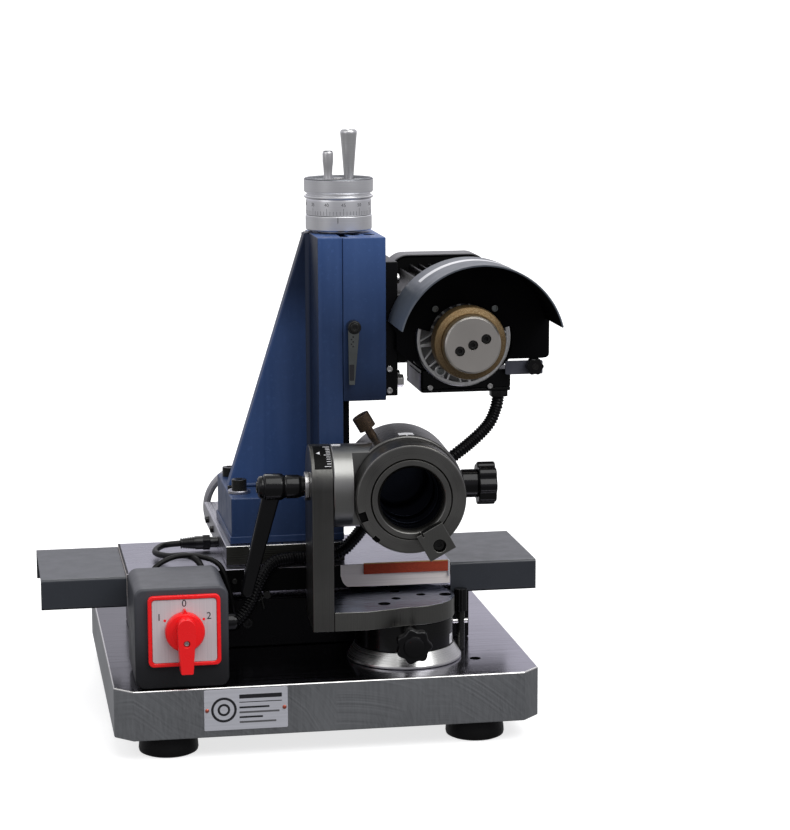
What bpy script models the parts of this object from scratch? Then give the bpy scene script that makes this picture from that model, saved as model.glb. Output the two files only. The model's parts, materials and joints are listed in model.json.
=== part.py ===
"""Gun drill grinding machine: grinding motor on a column, telescopic table and a swivelling workhead."""

import math

import bmesh
import bpy
from mathutils import Matrix, Vector

MM = 0.001
GAP = 0.3  # clearance left between two pieces that touch, in mm

# The layout below is in mm from the middle of the base plate's top face; this moves it to the shared frame.
SHIFT_X = 11.1
SHIFT_Y = 11.5
SHIFT_Z = 66.2

# Base plate
BASE_W = 385.0
BASE_D = 400.0
BASE_T = 45.5
BASE_CHAMFER = 16.0
FOOT_R = 27.0
FOOT_X = (-143.0, 138.0)
FOOT_Y = (-163.0, 160.0)

# Table with its end covers, and the bed it runs on
BED_X = (-165.0, 152.0)
TABLE_X = (-173.5, 127.0)
TABLE_Y = (-103.0, 25.0)
TABLE_TOP = 83.5
TABLE_BOTTOM = 61.5
COVER_TOP = 81.0
COVER_DROP = 28.0
COVER_SHEET = 1.6
COVER_END_X = (-251.2, 209.0)

# Cross slide with the column on it
PLATE_X = (-81.0, 30.0)
PLATE_Y = (-89.0, 118.0)
PLATE_TOP = 102.0
COLUMN_FRONT = -80.0
COLUMN_BACK = 3.0
COLUMN_X = (8.0, 30.0)
COLUMN_TOP = 384.4
SLIDE_X = (31.2, 71.2)
SLIDE_Z = (232.6, 384.0)
SCREW_X = 36.5
SCREW_Y = -22.0

# Grinding motor
MOTOR_X = 147.0
MOTOR_Z = 286.0
BELL_Y = -60.0
GUARD_X = 151.0
GUARD_Z = 285.0
GUARD_R = 77.6
GUARD_DEPTH = 75.0

# Workhead: laid out square to the base, then swivelled about HEAD_CENTRE
HEAD_CENTRE = (79.5, -122.4)
HEAD_SWIVEL = -2.8
STOP = (135.4, -110.5, 0.0)
TILT_Y = -147.0
TILT_Z = 167.0
BARREL_X = 77.5
BARREL_Z = 162.0
BARREL_Y = (-196.0, -97.0)
KNOB_Y = -130.0
BARREL_R = 52.0
INDEX_R = 49.3
BORE_R = 28.0
BORE_FLOOR = -110.0

# Switch box
BOX_X = (-173.5, -90.5)
BOX_Y = (-197.0, -113.5)
BOX_TOP = 91.5
DIAL_X = -130.0
DIAL_Z = 53.3

# Surface looks: colour, roughness, metallic
LOOKS = {
    "ground_steel": ((0.42, 0.42, 0.43), 0.35, 1.0),
    "dark_paint": ((0.055, 0.06, 0.07), 0.4, 0.0),
    "grey_paint": ((0.11, 0.115, 0.125), 0.45, 0.0),
    "blue_paint": ((0.045, 0.075, 0.19), 0.42, 0.0),
    "black_paint": ((0.012, 0.012, 0.014), 0.4, 0.0),
    "black_oxide": ((0.03, 0.03, 0.032), 0.38, 0.9),
    "gunmetal": ((0.13, 0.125, 0.12), 0.36, 1.0),
    "bright_steel": ((0.6, 0.6, 0.6), 0.25, 1.0),
    "satin_aluminium": ((0.55, 0.56, 0.57), 0.35, 1.0),
    "cast_aluminium": ((0.5, 0.5, 0.5), 0.5, 1.0),
    "black_plastic": ((0.015, 0.015, 0.015), 0.45, 0.0),
    "red_plastic": ((0.75, 0.03, 0.03), 0.35, 0.0),
    "rubber": ((0.02, 0.02, 0.02), 0.8, 0.0),
    "red_felt": ((0.4, 0.04, 0.02), 0.9, 0.0),
    "gold_abrasive": ((0.35, 0.24, 0.09), 0.7, 0.3),
    "silver_plate": ((0.6, 0.6, 0.62), 0.4, 0.6),
    "grey_cap": ((0.38, 0.4, 0.44), 0.4, 0.2),
}


def clear_scene():
    for obj in list(bpy.data.objects):
        bpy.data.objects.remove(obj, do_unlink=True)


def place(x, y, z):
    return Vector(((x + SHIFT_X) * MM, (y + SHIFT_Y) * MM, (z + SHIFT_Z) * MM))


def look(obj, name):
    colour, roughness, metallic = LOOKS[name]
    material = bpy.data.materials.new(obj.name)
    material.use_nodes = True
    shader = material.node_tree.nodes["Principled BSDF"]
    shader.inputs["Base Color"].default_value = (*colour, 1.0)
    shader.inputs["Roughness"].default_value = roughness
    shader.inputs["Metallic"].default_value = metallic
    material.diffuse_color = (*colour, 1.0)
    obj.data.materials.append(material)


def add_object(name, points, faces, surface=None):
    """A closed mesh from layout points in mm, with its faces turned outward."""
    mesh = bpy.data.meshes.new(name)
    mesh.from_pydata([place(*p) for p in points], [], faces)
    work = bmesh.new()
    work.from_mesh(mesh)
    bmesh.ops.recalc_face_normals(work, faces=work.faces)
    work.to_mesh(mesh)
    work.free()
    obj = bpy.data.objects.new(name, mesh)
    bpy.context.scene.collection.objects.link(obj)
    if surface:
        look(obj, surface)
    return obj


def box(name, xs, ys, zs, surface=None):
    points = [(x, y, z) for x in xs for y in ys for z in zs]
    faces = [(0, 1, 3, 2), (4, 6, 7, 5), (0, 4, 5, 1), (2, 3, 7, 6), (0, 2, 6, 4), (1, 5, 7, 3)]
    return add_object(name, points, faces, surface)


def prism(name, outline, normal, span, surface=None):
    """A flat outline pushed along an axis. The outline is in (x, y), (x, z) or (y, z)."""
    order = {"z": lambda a, b, h: (a, b, h), "y": lambda a, b, h: (a, h, b), "x": lambda a, b, h: (h, a, b)}
    count = len(outline)
    points = [order[normal](a, b, h) for h in span for a, b in outline]
    faces = [tuple(range(count)), tuple(range(2 * count - 1, count - 1, -1))]
    for i in range(count):
        j = (i + 1) % count
        faces.append((i, j, count + j, count + i))
    return add_object(name, points, faces, surface)


def turned(name, axis, centre, profile, steps=32, surface=None):
    """A turned piece. The profile lists (radius, position along the axis); it closes on itself or on the axis."""
    closes = profile[0][0] > 0 and profile[-1][0] > 0
    points = []
    rings = []
    for radius, along in profile:
        ring = []
        for i in range(steps if radius > 0 else 1):
            angle = 2 * math.pi * (i + 0.5) / steps
            a, b = radius * math.cos(angle), radius * math.sin(angle)
            offset = {"x": (along, a, b), "y": (a, along, b), "z": (a, b, along)}[axis]
            ring.append(len(points))
            points.append(tuple(c + o for c, o in zip(centre, offset)))
        rings.append(ring)
    faces = []
    pairs = list(zip(rings, rings[1:]))
    if closes:
        pairs.append((rings[-1], rings[0]))
    for first, second in pairs:
        for i in range(steps):
            j = (i + 1) % steps
            corners = [first[i % len(first)], first[j % len(first)], second[j % len(second)], second[i % len(second)]]
            faces.append(tuple(dict.fromkeys(corners)))
    return add_object(name, points, faces, surface)


def rod(name, axis, centre, radius, span, steps=24, surface=None):
    profile = [(0, span[0]), (radius, span[0]), (radius, span[1]), (0, span[1])]
    return turned(name, axis, centre, profile, steps, surface)


def tube(name, axis, centre, radii, span, steps=32, surface=None):
    inner, outer = radii
    profile = [(inner, span[0]), (outer, span[0]), (outer, span[1]), (inner, span[1])]
    return turned(name, axis, centre, profile, steps, surface)


def rounded(xs, ys, radius, steps=4):
    """Outline of a rectangle with rounded corners."""
    outline = []
    corners = ((xs[1], ys[1], 0), (xs[0], ys[1], 90), (xs[0], ys[0], 180), (xs[1], ys[0], 270))
    for x, y, start in corners:
        cx = x - radius if start in (0, 270) else x + radius
        cy = y - radius if start in (0, 90) else y + radius
        for i in range(steps + 1):
            angle = math.radians(start + 90 * i / steps)
            outline.append((cx + radius * math.cos(angle), cy + radius * math.sin(angle)))
    return outline


def arc(cx, cy, radius, start, end, steps):
    angles = [math.radians(start + (end - start) * i / steps) for i in range(steps + 1)]
    return [(cx + radius * math.cos(a), cy + radius * math.sin(a)) for a in angles]


def lobed(cx, cy, radius, depth, lobes, per_lobe=6):
    """Outline of a star knob."""
    outline = []
    for i in range(lobes * per_lobe):
        angle = 2 * math.pi * i / (lobes * per_lobe)
        r = radius - depth * (0.5 - 0.5 * math.cos(lobes * angle))
        outline.append((cx + r * math.cos(angle), cy + r * math.sin(angle)))
    return outline


def hide(tool):
    tool.hide_render = True
    tool.display_type = "WIRE"
    return tool


def combine(obj, tools, operation):
    for tool in tools:
        hide(tool)
        modifier = obj.modifiers.new(tool.name, "BOOLEAN")
        modifier.operation = operation
        modifier.solver = "EXACT"
        modifier.object = tool
    return obj


def cut(obj, *tools):
    return combine(obj, tools, "DIFFERENCE")


def join(obj, *tools):
    return combine(obj, tools, "UNION")


def soften(obj, width, segments=1):
    modifier = obj.modifiers.new("edges", "BEVEL")
    modifier.width = width * MM
    modifier.segments = segments
    modifier.limit_method = "ANGLE"
    modifier.angle_limit = math.radians(50)
    return obj


def pivot(obj, x, y, z):
    """Moves the origin of a moving piece onto its joint axis."""
    point = place(x, y, z)
    obj.data.transform(Matrix.Translation(-point))
    obj.location = point
    return obj


def cable(name, points, radius, resolution, surface):
    """A cord along a smooth route through the given points."""
    route = []
    ends = [points[0]] + list(points) + [points[-1]]
    for a, b, c, d in zip(ends, ends[1:], ends[2:], ends[3:]):
        a, b, c, d = Vector(a), Vector(b), Vector(c), Vector(d)
        steps = max(1, round((c - b).length / (5.0 * radius)))
        for i in range(steps):
            t = i / steps
            bend = (2 * a - 5 * b + 4 * c - d) * t * t + (3 * b - a - 3 * c + d) * t * t * t
            route.append(0.5 * (2 * b + (c - a) * t + bend))
    route.append(Vector(points[-1]))
    curve = bpy.data.curves.new(name, "CURVE")
    curve.dimensions = "3D"
    curve.bevel_depth = radius * MM
    curve.bevel_resolution = resolution
    curve.use_fill_caps = True
    spline = curve.splines.new("POLY")
    spline.points.add(len(route) - 1)
    for target, point in zip(spline.points, route):
        target.co = (*place(*point), 1.0)
    obj = bpy.data.objects.new(name, curve)
    bpy.context.scene.collection.objects.link(obj)
    look(obj, surface)
    return obj


# ---------------------------------------------------------------- base and switch box


def build_base():
    w, d, c = BASE_W / 2, BASE_D / 2, BASE_CHAMFER
    outline = [(w - c, d), (-w + c, d), (-w, d - c), (-w, -d + c), (-w + c, -d), (w - c, -d), (w, -d + c), (w, d - c)]
    base = prism("base_plate", outline, "z", (-BASE_T, 0), "ground_steel")
    soften(base, 1.2)
    cut(base, rod("base_hole_cutter", "z", (142, -146, 0), 5.2, (-18, 3)))
    for tag_x, x in zip("lr", FOOT_X):
        for tag_y, y in zip("fb", FOOT_Y):
            low = -SHIFT_Z
            profile = [(0, low), (FOOT_R - 2, low), (FOOT_R, low + 2), (FOOT_R - 1, low + 12)]
            profile += [(FOOT_R - 4, -BASE_T - GAP), (0, -BASE_T - GAP)]
            turned(f"foot_{tag_y}{tag_x}", "z", (x, y, 0), profile, 32, "rubber")
    plate = box("name_plate", (-114, -39.5), (-201, -BASE_D / 2 - 0.2), (-39, -1.8), "silver_plate")


def build_switch_box():
    outline = rounded(BOX_X, (GAP, BOX_TOP), 8, 4)
    housing = prism("switch_box", outline, "y", BOX_Y, "grey_paint")
    soften(housing, 2.0, 2)
    front = BOX_Y[0]
    half = 32.0
    frame = prism(
        "switch_frame",
        rounded((DIAL_X - half, DIAL_X + half), (DIAL_Z - half, DIAL_Z + half), 5, 3),
        "y",
        (front - 4.5, front - GAP),
        "red_plastic",
    )
    inner = rounded((DIAL_X - 28.5, DIAL_X + 28.5), (DIAL_Z - 28.5, DIAL_Z + 28.5), 3, 3)
    cut(frame, prism("switch_frame_cutter", inner, "y", (front - 6, front - 1.5)))
    cut(frame, rod("switch_frame_hole", "y", (DIAL_X, front, DIAL_Z), 9.4, (-7, 3)))
    inset = rounded((DIAL_X - 28.1, DIAL_X + 28.1), (DIAL_Z - 28.1, DIAL_Z + 28.1), 2.8, 3)
    face = prism("switch_dial", inset, "y", (front - 3.6, front - 1.8), "silver_plate")
    cut(face, rod("switch_dial_hole", "y", (DIAL_X, front, DIAL_Z), 9.4, (-7, 3)))
    knob = turned(
        "switch_knob",
        "y",
        (DIAL_X, front, DIAL_Z),
        [(0, -1.9), (9, -1.9), (9, -4.2), (17.2, -4.2), (17.2, -9.5), (15.5, -11), (0, -11)],
        32,
        "red_plastic",
    )
    grip = rounded((DIAL_X - 6, DIAL_X + 6), (DIAL_Z - 34, DIAL_Z + 16), 5.2, 3)
    join(knob, prism("switch_grip", grip, "y", (front - 26, front - 6)))
    pivot(knob, DIAL_X, front, DIAL_Z)


# ---------------------------------------------------------------- bed, table and covers


def build_bed():
    bed = box("x_bed", BED_X, (-67, 60), (GAP, 46), "black_paint")
    dovetail = [(-62, 45), (-40, 45), (-34, TABLE_BOTTOM - GAP), (-68, TABLE_BOTTOM - GAP)]
    rear = [(-8, 45), (14, 45), (20, TABLE_BOTTOM - GAP), (-14, TABLE_BOTTOM - GAP)]
    rails = [prism("bed_rail_front", dovetail, "x", BED_X), prism("bed_rail_rear", rear, "x", BED_X)]
    return join(bed, *rails)


def build_table():
    table = box("x_table", TABLE_X, TABLE_Y, (TABLE_BOTTOM, TABLE_TOP), "ground_steel")
    soften(table, 0.8)
    rear = box("table_rear_arm", (-70, 20), (20, 96), (TABLE_BOTTOM, TABLE_TOP - 4))
    join(table, rear)
    strip = box(
        "wiper_strip",
        (45, 124.5),
        (TABLE_Y[0] - 2.3, TABLE_Y[0] - GAP),
        (TABLE_TOP - 9.5, TABLE_TOP + 0.9),
        "red_felt",
    )


def cover(name, x_end, x_table, sign):
    """An inverted trough of sheet screwed to one end of the table."""
    xs = sorted((x_end, x_table + sign * GAP))
    body = box(name, xs, TABLE_Y, (COVER_TOP - COVER_DROP, COVER_TOP), "dark_paint")
    soften(body, 1.4, 2)
    inside = (TABLE_Y[0] + COVER_SHEET, TABLE_Y[1] - COVER_SHEET)
    hollow = box(name + "_cutter", (xs[0] - 5, xs[1] + 5), inside, (COVER_TOP - COVER_DROP - 5, COVER_TOP - COVER_SHEET))
    return cut(body, hollow)


def build_cross_slide():
    plate = box("y_slide_plate", PLATE_X, PLATE_Y, (TABLE_TOP + GAP, PLATE_TOP), "ground_steel")
    soften(plate, 0.8)
    block = box("y_screw_bearing", (-60, -12), (PLATE_Y[1] + GAP, PLATE_Y[1] + 11), (76, 106), "black_oxide")
    cut(block, rod("bearing_bore", "y", (-36, 0, 91), 8.4, (100, 140)))
    wheel = turned(
        "y_handwheel",
        "y",
        (-36, 0, 91),
        [(0, 160), (13, 160), (13, 147), (17, 144), (17, 131), (8, 131), (8, 120), (0, 120)],
        32,
        "cast_aluminium",
    )
    rim = [(37.5, 134), (43.4, 136), (43.4, 146), (41, 149), (37.5, 149)]
    tools = [turned("y_rim", "y", (-36, 0, 91), rim, 48)]
    for i in range(3):
        angle = math.radians(90 + 120 * i)
        along = Vector((math.cos(angle), math.sin(angle)))
        side = Vector((-along.y, along.x)) * 5.5
        corners = [along * 8 + side, along * 39 + side * 0.8, along * 39 - side * 0.8, along * 8 - side]
        outline = [(-36 + p.x, 91 + p.y) for p in corners]
        tools.append(prism(f"y_spoke_{i}", outline, "y", (137.5, 145)))
    join(wheel, *tools)
    pivot(wheel, -36, 140, 91)
    grip = turned(
        "y_handwheel_grip",
        "y",
        (-36 + 40.4 * math.cos(math.radians(30)), 0, 91 + 40.4 * math.sin(math.radians(30))),
        [(0, 149.4), (5.5, 149.4), (7.5, 160), (7.8, 186), (5, 192), (0, 193)],
        20,
        "black_plastic",
    )
    pivot(grip, -36 + 40.4 * math.cos(math.radians(30)), 160, 91 + 40.4 * math.sin(math.radians(30)))


# ---------------------------------------------------------------- column, vertical slide and hand feed


def build_column():
    top = 145.0
    foot = box("column", (-74.5, COLUMN_X[1]), (COLUMN_FRONT, 45), (PLATE_TOP + GAP, top), "blue_paint")
    soften(foot, 1.6)
    post = box("column_post", COLUMN_X, (COLUMN_FRONT + 0.05, COLUMN_BACK), (PLATE_TOP + 6, COLUMN_TOP))
    soften(post, 0.8)
    slope = [(4.0, COLUMN_TOP), (COLUMN_X[0] + 6, COLUMN_TOP), (COLUMN_X[0] + 6, 130), (-71.0, 130), (-71.0, 147)]
    rib = prism("column_rib", slope, "y", (-25, -9))
    soften(rib, 1.0)
    flange = box("column_flange", (-76, COLUMN_X[1] - 0.1), (COLUMN_FRONT - 1.4, 46), (PLATE_TOP + GAP, PLATE_TOP + 7))
    join(foot, post, rib, flange)
    cap = turned(
        "column_bolt",
        "z",
        (-64, -53, 0),
        [(0, top + GAP), (10.5, top + GAP), (10.5, top + 3), (6.6, top + 3), (6.6, top + 12.5), (5.6, top + 13.5)]
        + [(3.2, top + 13.5), (3.2, top + 8), (0, top + 8)],
        24,
        "black_oxide",
    )
    way = [(COLUMN_X[1] + GAP, -66), (37.6, -72), (37.6, -34), (COLUMN_X[1] + GAP, -40)]
    rail = prism("z_dovetail", way, "z", (PLATE_TOP + 46, COLUMN_TOP - 2.0), "black_oxide")


def build_slide():
    slide = box("z_slide", SLIDE_X, (COLUMN_FRONT, COLUMN_BACK), SLIDE_Z, "blue_paint")
    soften(slide, 1.0)
    low, high = SLIDE_Z[0] - 5, SLIDE_Z[1] + 5
    groove = [(28, -66.6), (SLIDE_X[0], -66.9), (38.1, -72.7), (38.1, -33.3), (SLIDE_X[0], -39.1), (28, -39.4)]
    tools = [prism("slide_groove", groove, "z", (low, high))]
    for tag, z0, z1 in (("low", low, 292), ("high", 322, high)):
        tools.append(box(f"slide_channel_{tag}", (28, 44), (-30, -14), (z0, z1)))
    tools.append(rod("slide_nut_bore", "z", (SCREW_X, SCREW_Y, 0), 5.3, (low, high), 20))
    tools.append(rod("slide_screw_hole", "z", (61, -52, 0), 4.6, (374, high), 20))
    cut(slide, *tools)
    screw = rod("z_screw", "z", (SCREW_X, SCREW_Y, 0), 4.9, (246, 385.6), 20, "bright_steel")
    pivot(screw, SCREW_X, SCREW_Y, 385)
    lever = turned(
        "z_lock_lever",
        "y",
        (40.2, 0, 302.5),
        [(0, -80.4), (6, -80.4), (6, -91), (4.6, -92.4), (2.4, -92.4), (2.4, -89), (0, -89)],
        24,
        "black_oxide",
    )
    arm = [(35.4, 302), (36.2, 306), (44.2, 306), (44.8, 301), (41.2, 250), (40.2, 248.6), (35.2, 248.6), (34.4, 250)]
    join(lever, prism("z_lock_arm", arm, "y", (-88.2, -83.2)))
    pivot(lever, 40.2, -84, 302.5)


def build_hand_feed():
    centre = (SCREW_X, SCREW_Y, 0)
    ring = turned(
        "z_bearing_ring",
        "z",
        centre,
        [(5.4, 384.8), (20, 384.8), (20, 386.8), (31, 386.8), (31, 400.8), (5.4, 400.8)],
        48,
        "satin_aluminium",
    )
    dial = tube("z_dial", "z", centre, (9.2, 30.6), (401.2, 416.4), 48, "satin_aluminium")
    pivot(dial, SCREW_X, SCREW_Y, 408)
    wheel = turned(
        "z_handwheel",
        "z",
        centre,
        [(0, 401.2), (8.8, 401.2), (8.8, 416.8), (32.4, 416.8), (32.4, 419.2), (29.6, 419.2), (29.6, 421.6)]
        + [(31.6, 421.6), (32.4, 422.4), (32.4, 434.4), (31.2, 435.4), (27, 435.4), (25.6, 434.2), (0, 434.2)],
        48,
        "satin_aluminium",
    )
    pivot(wheel, SCREW_X, SCREW_Y, 420)
    tall = turned(
        "z_crank_grip",
        "z",
        (SCREW_X + 12, SCREW_Y + 14, 0),
        [(0, 434.6), (4.7, 434.6), (5.0, 441), (7.2, 470), (8.0, 476), (7.0, 478.4), (0, 478.8)],
        24,
        "satin_aluminium",
    )
    pivot(tall, SCREW_X + 12, SCREW_Y + 14, 455)
    small = turned(
        "z_clamp_grip",
        "z",
        (SCREW_X - 11, SCREW_Y - 8, 0),
        [(0, 434.6), (4.4, 434.6), (4.0, 440), (4.8, 447), (5.0, 458), (4.0, 460.4), (0, 460.6)],
        20,
        "satin_aluminium",
    )
    pivot(small, SCREW_X - 11, SCREW_Y - 8, 447)


# ---------------------------------------------------------------- grinding motor, guard and wheel


def build_motor():
    bracket = box("motor_bracket", (SLIDE_X[1] + GAP, 85.8), (-59, 2), (SLIDE_Z[0] + 0.5, 359), "black_paint")
    soften(bracket, 1.0)
    join(bracket, box("motor_saddle", (84, 97.6), (-46, -8), (262, 326)))
    low, high = 255.6, 337.0
    body = prism("motor_body", rounded((98, 196), (low, high), 20, 4), "y", (BELL_Y + 2, 62), "black_paint")
    fins = []
    for i in range(6):
        x = 112 + 14 * i
        fins.append(box(f"fin_top_{i}", (x, x + 3), (BELL_Y + 10, 58), (high - 3, high + 5)))
    for i in range(4):
        z = 276 + 12 * i
        fins.append(box(f"fin_right_{i}", (193, 201), (BELL_Y + 10, 58), (z, z + 3)))
    join(body, *fins)
    cap = prism("motor_rear_cap", rounded((99, 197), (low - 6, 352.5), 18, 5), "y", (62.3, 92), "grey_cap")
    soften(cap, 4.0, 2)
    bell = turned(
        "motor_bell",
        "y",
        (MOTOR_X, 0, MOTOR_Z),
        [(11, BELL_Y - 12), (20, BELL_Y - 12), (24, BELL_Y - 5), (43, BELL_Y - 5), (45.4, BELL_Y - 2)]
        + [(45.4, BELL_Y + 1.7), (11, BELL_Y + 1.7)],
        40,
        "cast_aluminium",
    )
    ribs = []
    for i in range(8):
        angle = math.radians(22.5 + 45 * i)
        along = Vector((math.cos(angle), math.sin(angle)))
        side = Vector((-along.y, along.x)) * 1.8
        corners = [along * 19 + side, along * 42 + side, along * 42 - side, along * 19 - side]
        outline = [(MOTOR_X + p.x, MOTOR_Z + p.y) for p in corners]
        ribs.append(prism(f"bell_rib_{i}", outline, "y", (BELL_Y - 10, BELL_Y - 3)))
    join(bell, *ribs)
    terminal = box("terminal_box", (108.5, 194.5), (BELL_Y + 2, 24), (234.5, low - GAP), "black_paint")
    soften(terminal, 1.6)
    bolt = turned(
        "motor_clamp_bolt",
        "x",
        (0, -50, 246),
        [(0, 86.1), (6.2, 86.1), (6.2, 91.4), (5.2, 92.4), (0, 92.4)],
        6,
        "bright_steel",
    )


def build_guard():
    back, front = BELL_Y - 1.6, BELL_Y - GUARD_DEPTH
    outer = arc(GUARD_X, GUARD_Z, GUARD_R, 14, 166, 30)
    inner = arc(GUARD_X, GUARD_Z, GUARD_R - 1.8, 166, 14, 30)
    band = prism("wheel_guard", outer + inner, "y", (front, back), "dark_paint")
    outline = arc(GUARD_X, GUARD_Z, GUARD_R - 0.6, 14, 166, 30)
    outline += [(83.0, 293.0), (83.0, 276.0), (96.0, 266.0), (222.5, 266.0), (229.0, 272.0), (229.0, 303.0)]
    plate = prism("guard_plate", outline, "y", (back - 2.0, back - 0.02))
    join(band, plate, box("guard_tab", (186, 222), (back - 1.9, back - 0.1), (250.5, 268)))
    cut(band, rod("guard_opening", "y", (MOTOR_X, 0, MOTOR_Z), 46.6, (back - 12, back + 6), 40))
    slant = [(front - 4, 280), (front - 4, 304), (back - 2.2, 309.5), (back - 2.2, 280)]
    cut(band, prism("guard_tip_cutter", [(y, z - 6.5) for y, z in slant], "x", (218, 240)))
    knob = prism("guard_knob", lobed(213.5, 259.2, 8.4, 1.2, 6, 5), "y", (back - 15, back - 2.3), "black_plastic")
    pivot(knob, 213.5, back - 8, 259.2)


def build_wheel():
    centre = (MOTOR_X, 0, MOTOR_Z)
    spindle = turned(
        "wheel_spindle",
        "y",
        centre,
        [(0, -110), (25.4, -110), (26.6, -108.8), (26.6, -99), (22, -96), (22, -80), (10.4, -80), (10.4, -58.6), (0, -58.6)],
        40,
        "bright_steel",
    )
    tools = []
    for i in (-1, 0, 1):
        angle = math.radians(23.5)
        x = MOTOR_X + 13.4 * i * math.cos(angle)
        z = MOTOR_Z + 13.4 * i * math.sin(angle)
        tools.append(rod(f"hub_hole_{i + 1}", "y", (x, 0, z), 4.4, (-114, -104), 20))
        rod_name = f"hub_screw_{i + 1}"
        profile = [(0, -104.3), (3.7, -104.3), (3.7, -107.4), (1.9, -107.4), (1.9, -105.6), (0, -105.6)]
        turned(rod_name, "y", (x, 0, z), profile, 16, "black_oxide")
    cut(spindle, *tools)
    pivot(spindle, MOTOR_X, -90, MOTOR_Z)
    wheel = turned(
        "grinding_wheel",
        "y",
        centre,
        [(22.4, -95.6), (27.2, -98.6), (33.6, -97), (34.2, -95), (34.2, -82), (31, -80.4), (22.4, -80.4)],
        48,
        "gold_abrasive",
    )
    pivot(wheel, MOTOR_X, -90, MOTOR_Z)


# ---------------------------------------------------------------- workhead


def head_frame():
    """An empty at the swivel centre, turned to where the workhead stands."""
    frame = bpy.data.objects.new("workhead_swivel", None)
    bpy.context.scene.collection.objects.link(frame)
    frame.location = place(*HEAD_CENTRE, 0)
    frame.rotation_euler = (0, 0, math.radians(HEAD_SWIVEL))
    return frame


def swivel_together(frame, before):
    """Hangs every object made since then on the workhead's frame."""
    for obj in bpy.context.scene.objects:
        if obj.name not in before and obj is not frame:
            obj.parent = frame
            obj.matrix_parent_inverse = Matrix.Translation(-frame.location)


def build_swivel_stop():
    """Index post standing on the base beside the swivel disc, with its pin pointing at the disc's rim."""
    profile = [(0, GAP), (3.8, GAP), (3.8, 36), (6, 37), (6, 56), (4.8, 58), (0, 58)]
    stop = turned("swivel_stop", "z", STOP, profile, 20, "bright_steel")
    join(stop, rod("swivel_stop_pin", "x", (0, STOP[1], 27), 2.7, (124.0, 142.0), 16))


def build_head_base():
    cx, cy = HEAD_CENTRE
    ring = [(0, GAP), (52.9, GAP), (52.9, 2.0), (45.9, 14.0), (0, 14.0)]
    turned("swivel_ring", "z", (cx, cy, 0), ring, 48, "bright_steel")
    turned(
        "swivel_disc",
        "z",
        (cx, cy, 0),
        [(0, 14.4), (45.4, 14.4), (45.4, 39.6), (0, 39.6)],
        48,
        "gunmetal",
    )
    outline = [(9.6, cy - 59), (cx - 40, cy - 59)] + arc(cx, cy, 46.8, -92, 118, 26) + [(9.6, -110)]
    plate = prism("head_plate", outline, "z", (40, 57.3), "gunmetal")
    soften(plate, 0.8)
    tools = []
    for i in range(3):
        angle = math.radians(115 + 120 * i)
        x, y = cx + 38.3 * math.cos(angle), cy + 38.3 * math.sin(angle)
        tools.append(rod(f"plate_counterbore_{i}", "z", (x, y, 0), 5.8, (47, 60), 20))
        angle = math.radians(116 + 120 * i)
        x, y = cx + 15.7 * math.cos(angle), cy + 15.7 * math.sin(angle)
        tools.append(rod(f"plate_hole_{i}", "z", (x, y, 0), 4.4, (44, 60), 20))
    cut(plate, *tools)
    knob = prism("swivel_knob", lobed(cx - 1, 27.8, 16.6, 2.2, 7), "y", (-201, -187), "black_plastic")
    join(knob, rod("swivel_knob_stem", "y", (cx - 1, 0, 27.8), 6.2, (-190, -169), 20))
    pivot(knob, cx - 1, -190, 27.8)


def build_head_upright():
    front, back = -182.0, -110.0
    middle, half = (front + back) / 2, (back - front) / 2
    outline = [(front, 40), (back, 40)] + arc(middle, TILT_Z + 1.5, half, 0, 180, 24)
    upright = prism("head_upright", outline, "x", (-9.8, 9.2), "gunmetal")
    soften(upright, 0.8)
    cut(upright, rod("upright_bore", "x", (0, TILT_Y, TILT_Z), 12.4, (-20, 20), 24))
    lever = turned(
        "clamp_lever",
        "x",
        (0, TILT_Y, TILT_Z),
        [(0, -56), (10, -56), (12.3, -50), (12.3, -32), (10.4, -28), (10.4, -17), (9, -14.2), (0, -14.2)],
        24,
        "black_plastic",
    )
    arm = [(-53, TILT_Z + 2), (-53, TILT_Z - 10), (-73, 74), (-71.5, 66), (-62, 65), (-59.5, 72), (-36, TILT_Z - 10), (-36, TILT_Z + 2)]
    join(lever, prism("clamp_lever_arm", arm, "y", (TILT_Y - 6.5, TILT_Y + 6.5)))
    pivot(lever, -14, TILT_Y, TILT_Z)
    tube("lever_washer", "x", (0, TILT_Y, TILT_Z), (7.2, 13.2), (-13.9, -10.1), 32, "bright_steel")


def build_barrel():
    rear = BARREL_Y[1]
    centre = (BARREL_X, 0, BARREL_Z)
    housing = turned(
        "head_barrel",
        "y",
        centre,
        [(34.5, -165.4), (BARREL_R - 1.5, -165.4), (BARREL_R, -163.5), (BARREL_R, rear + 2), (BARREL_R - 2, rear), (34.5, rear)],
        56,
        "gunmetal",
    )
    trunnion = rod("head_trunnion", "x", (0, TILT_Y, TILT_Z), 37.6, (9.6, 60), 48)
    journal = rod("head_journal", "x", (0, TILT_Y, TILT_Z), 12.0, (-9.9, 20), 24)
    join(trunnion, journal)
    bore = rod("barrel_bore_cutter", "y", centre, 34.5, (-190, -80), 56)
    front_cut = rod("barrel_front_cutter", "y", centre, 58, (-230, -165.4), 40)
    cut(trunnion, bore, front_cut)
    join(housing, trunnion)
    cut(housing, rod("cap_screw_hole", "z", (BARREL_X, -125, BARREL_Z), 4.3, (30, 70), 16))
    cut(housing, rod("barrel_knob_hole", "x", (0, KNOB_Y, BARREL_Z), 5.0, (BARREL_X + 30, BARREL_X + 60), 16))
    return housing


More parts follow.
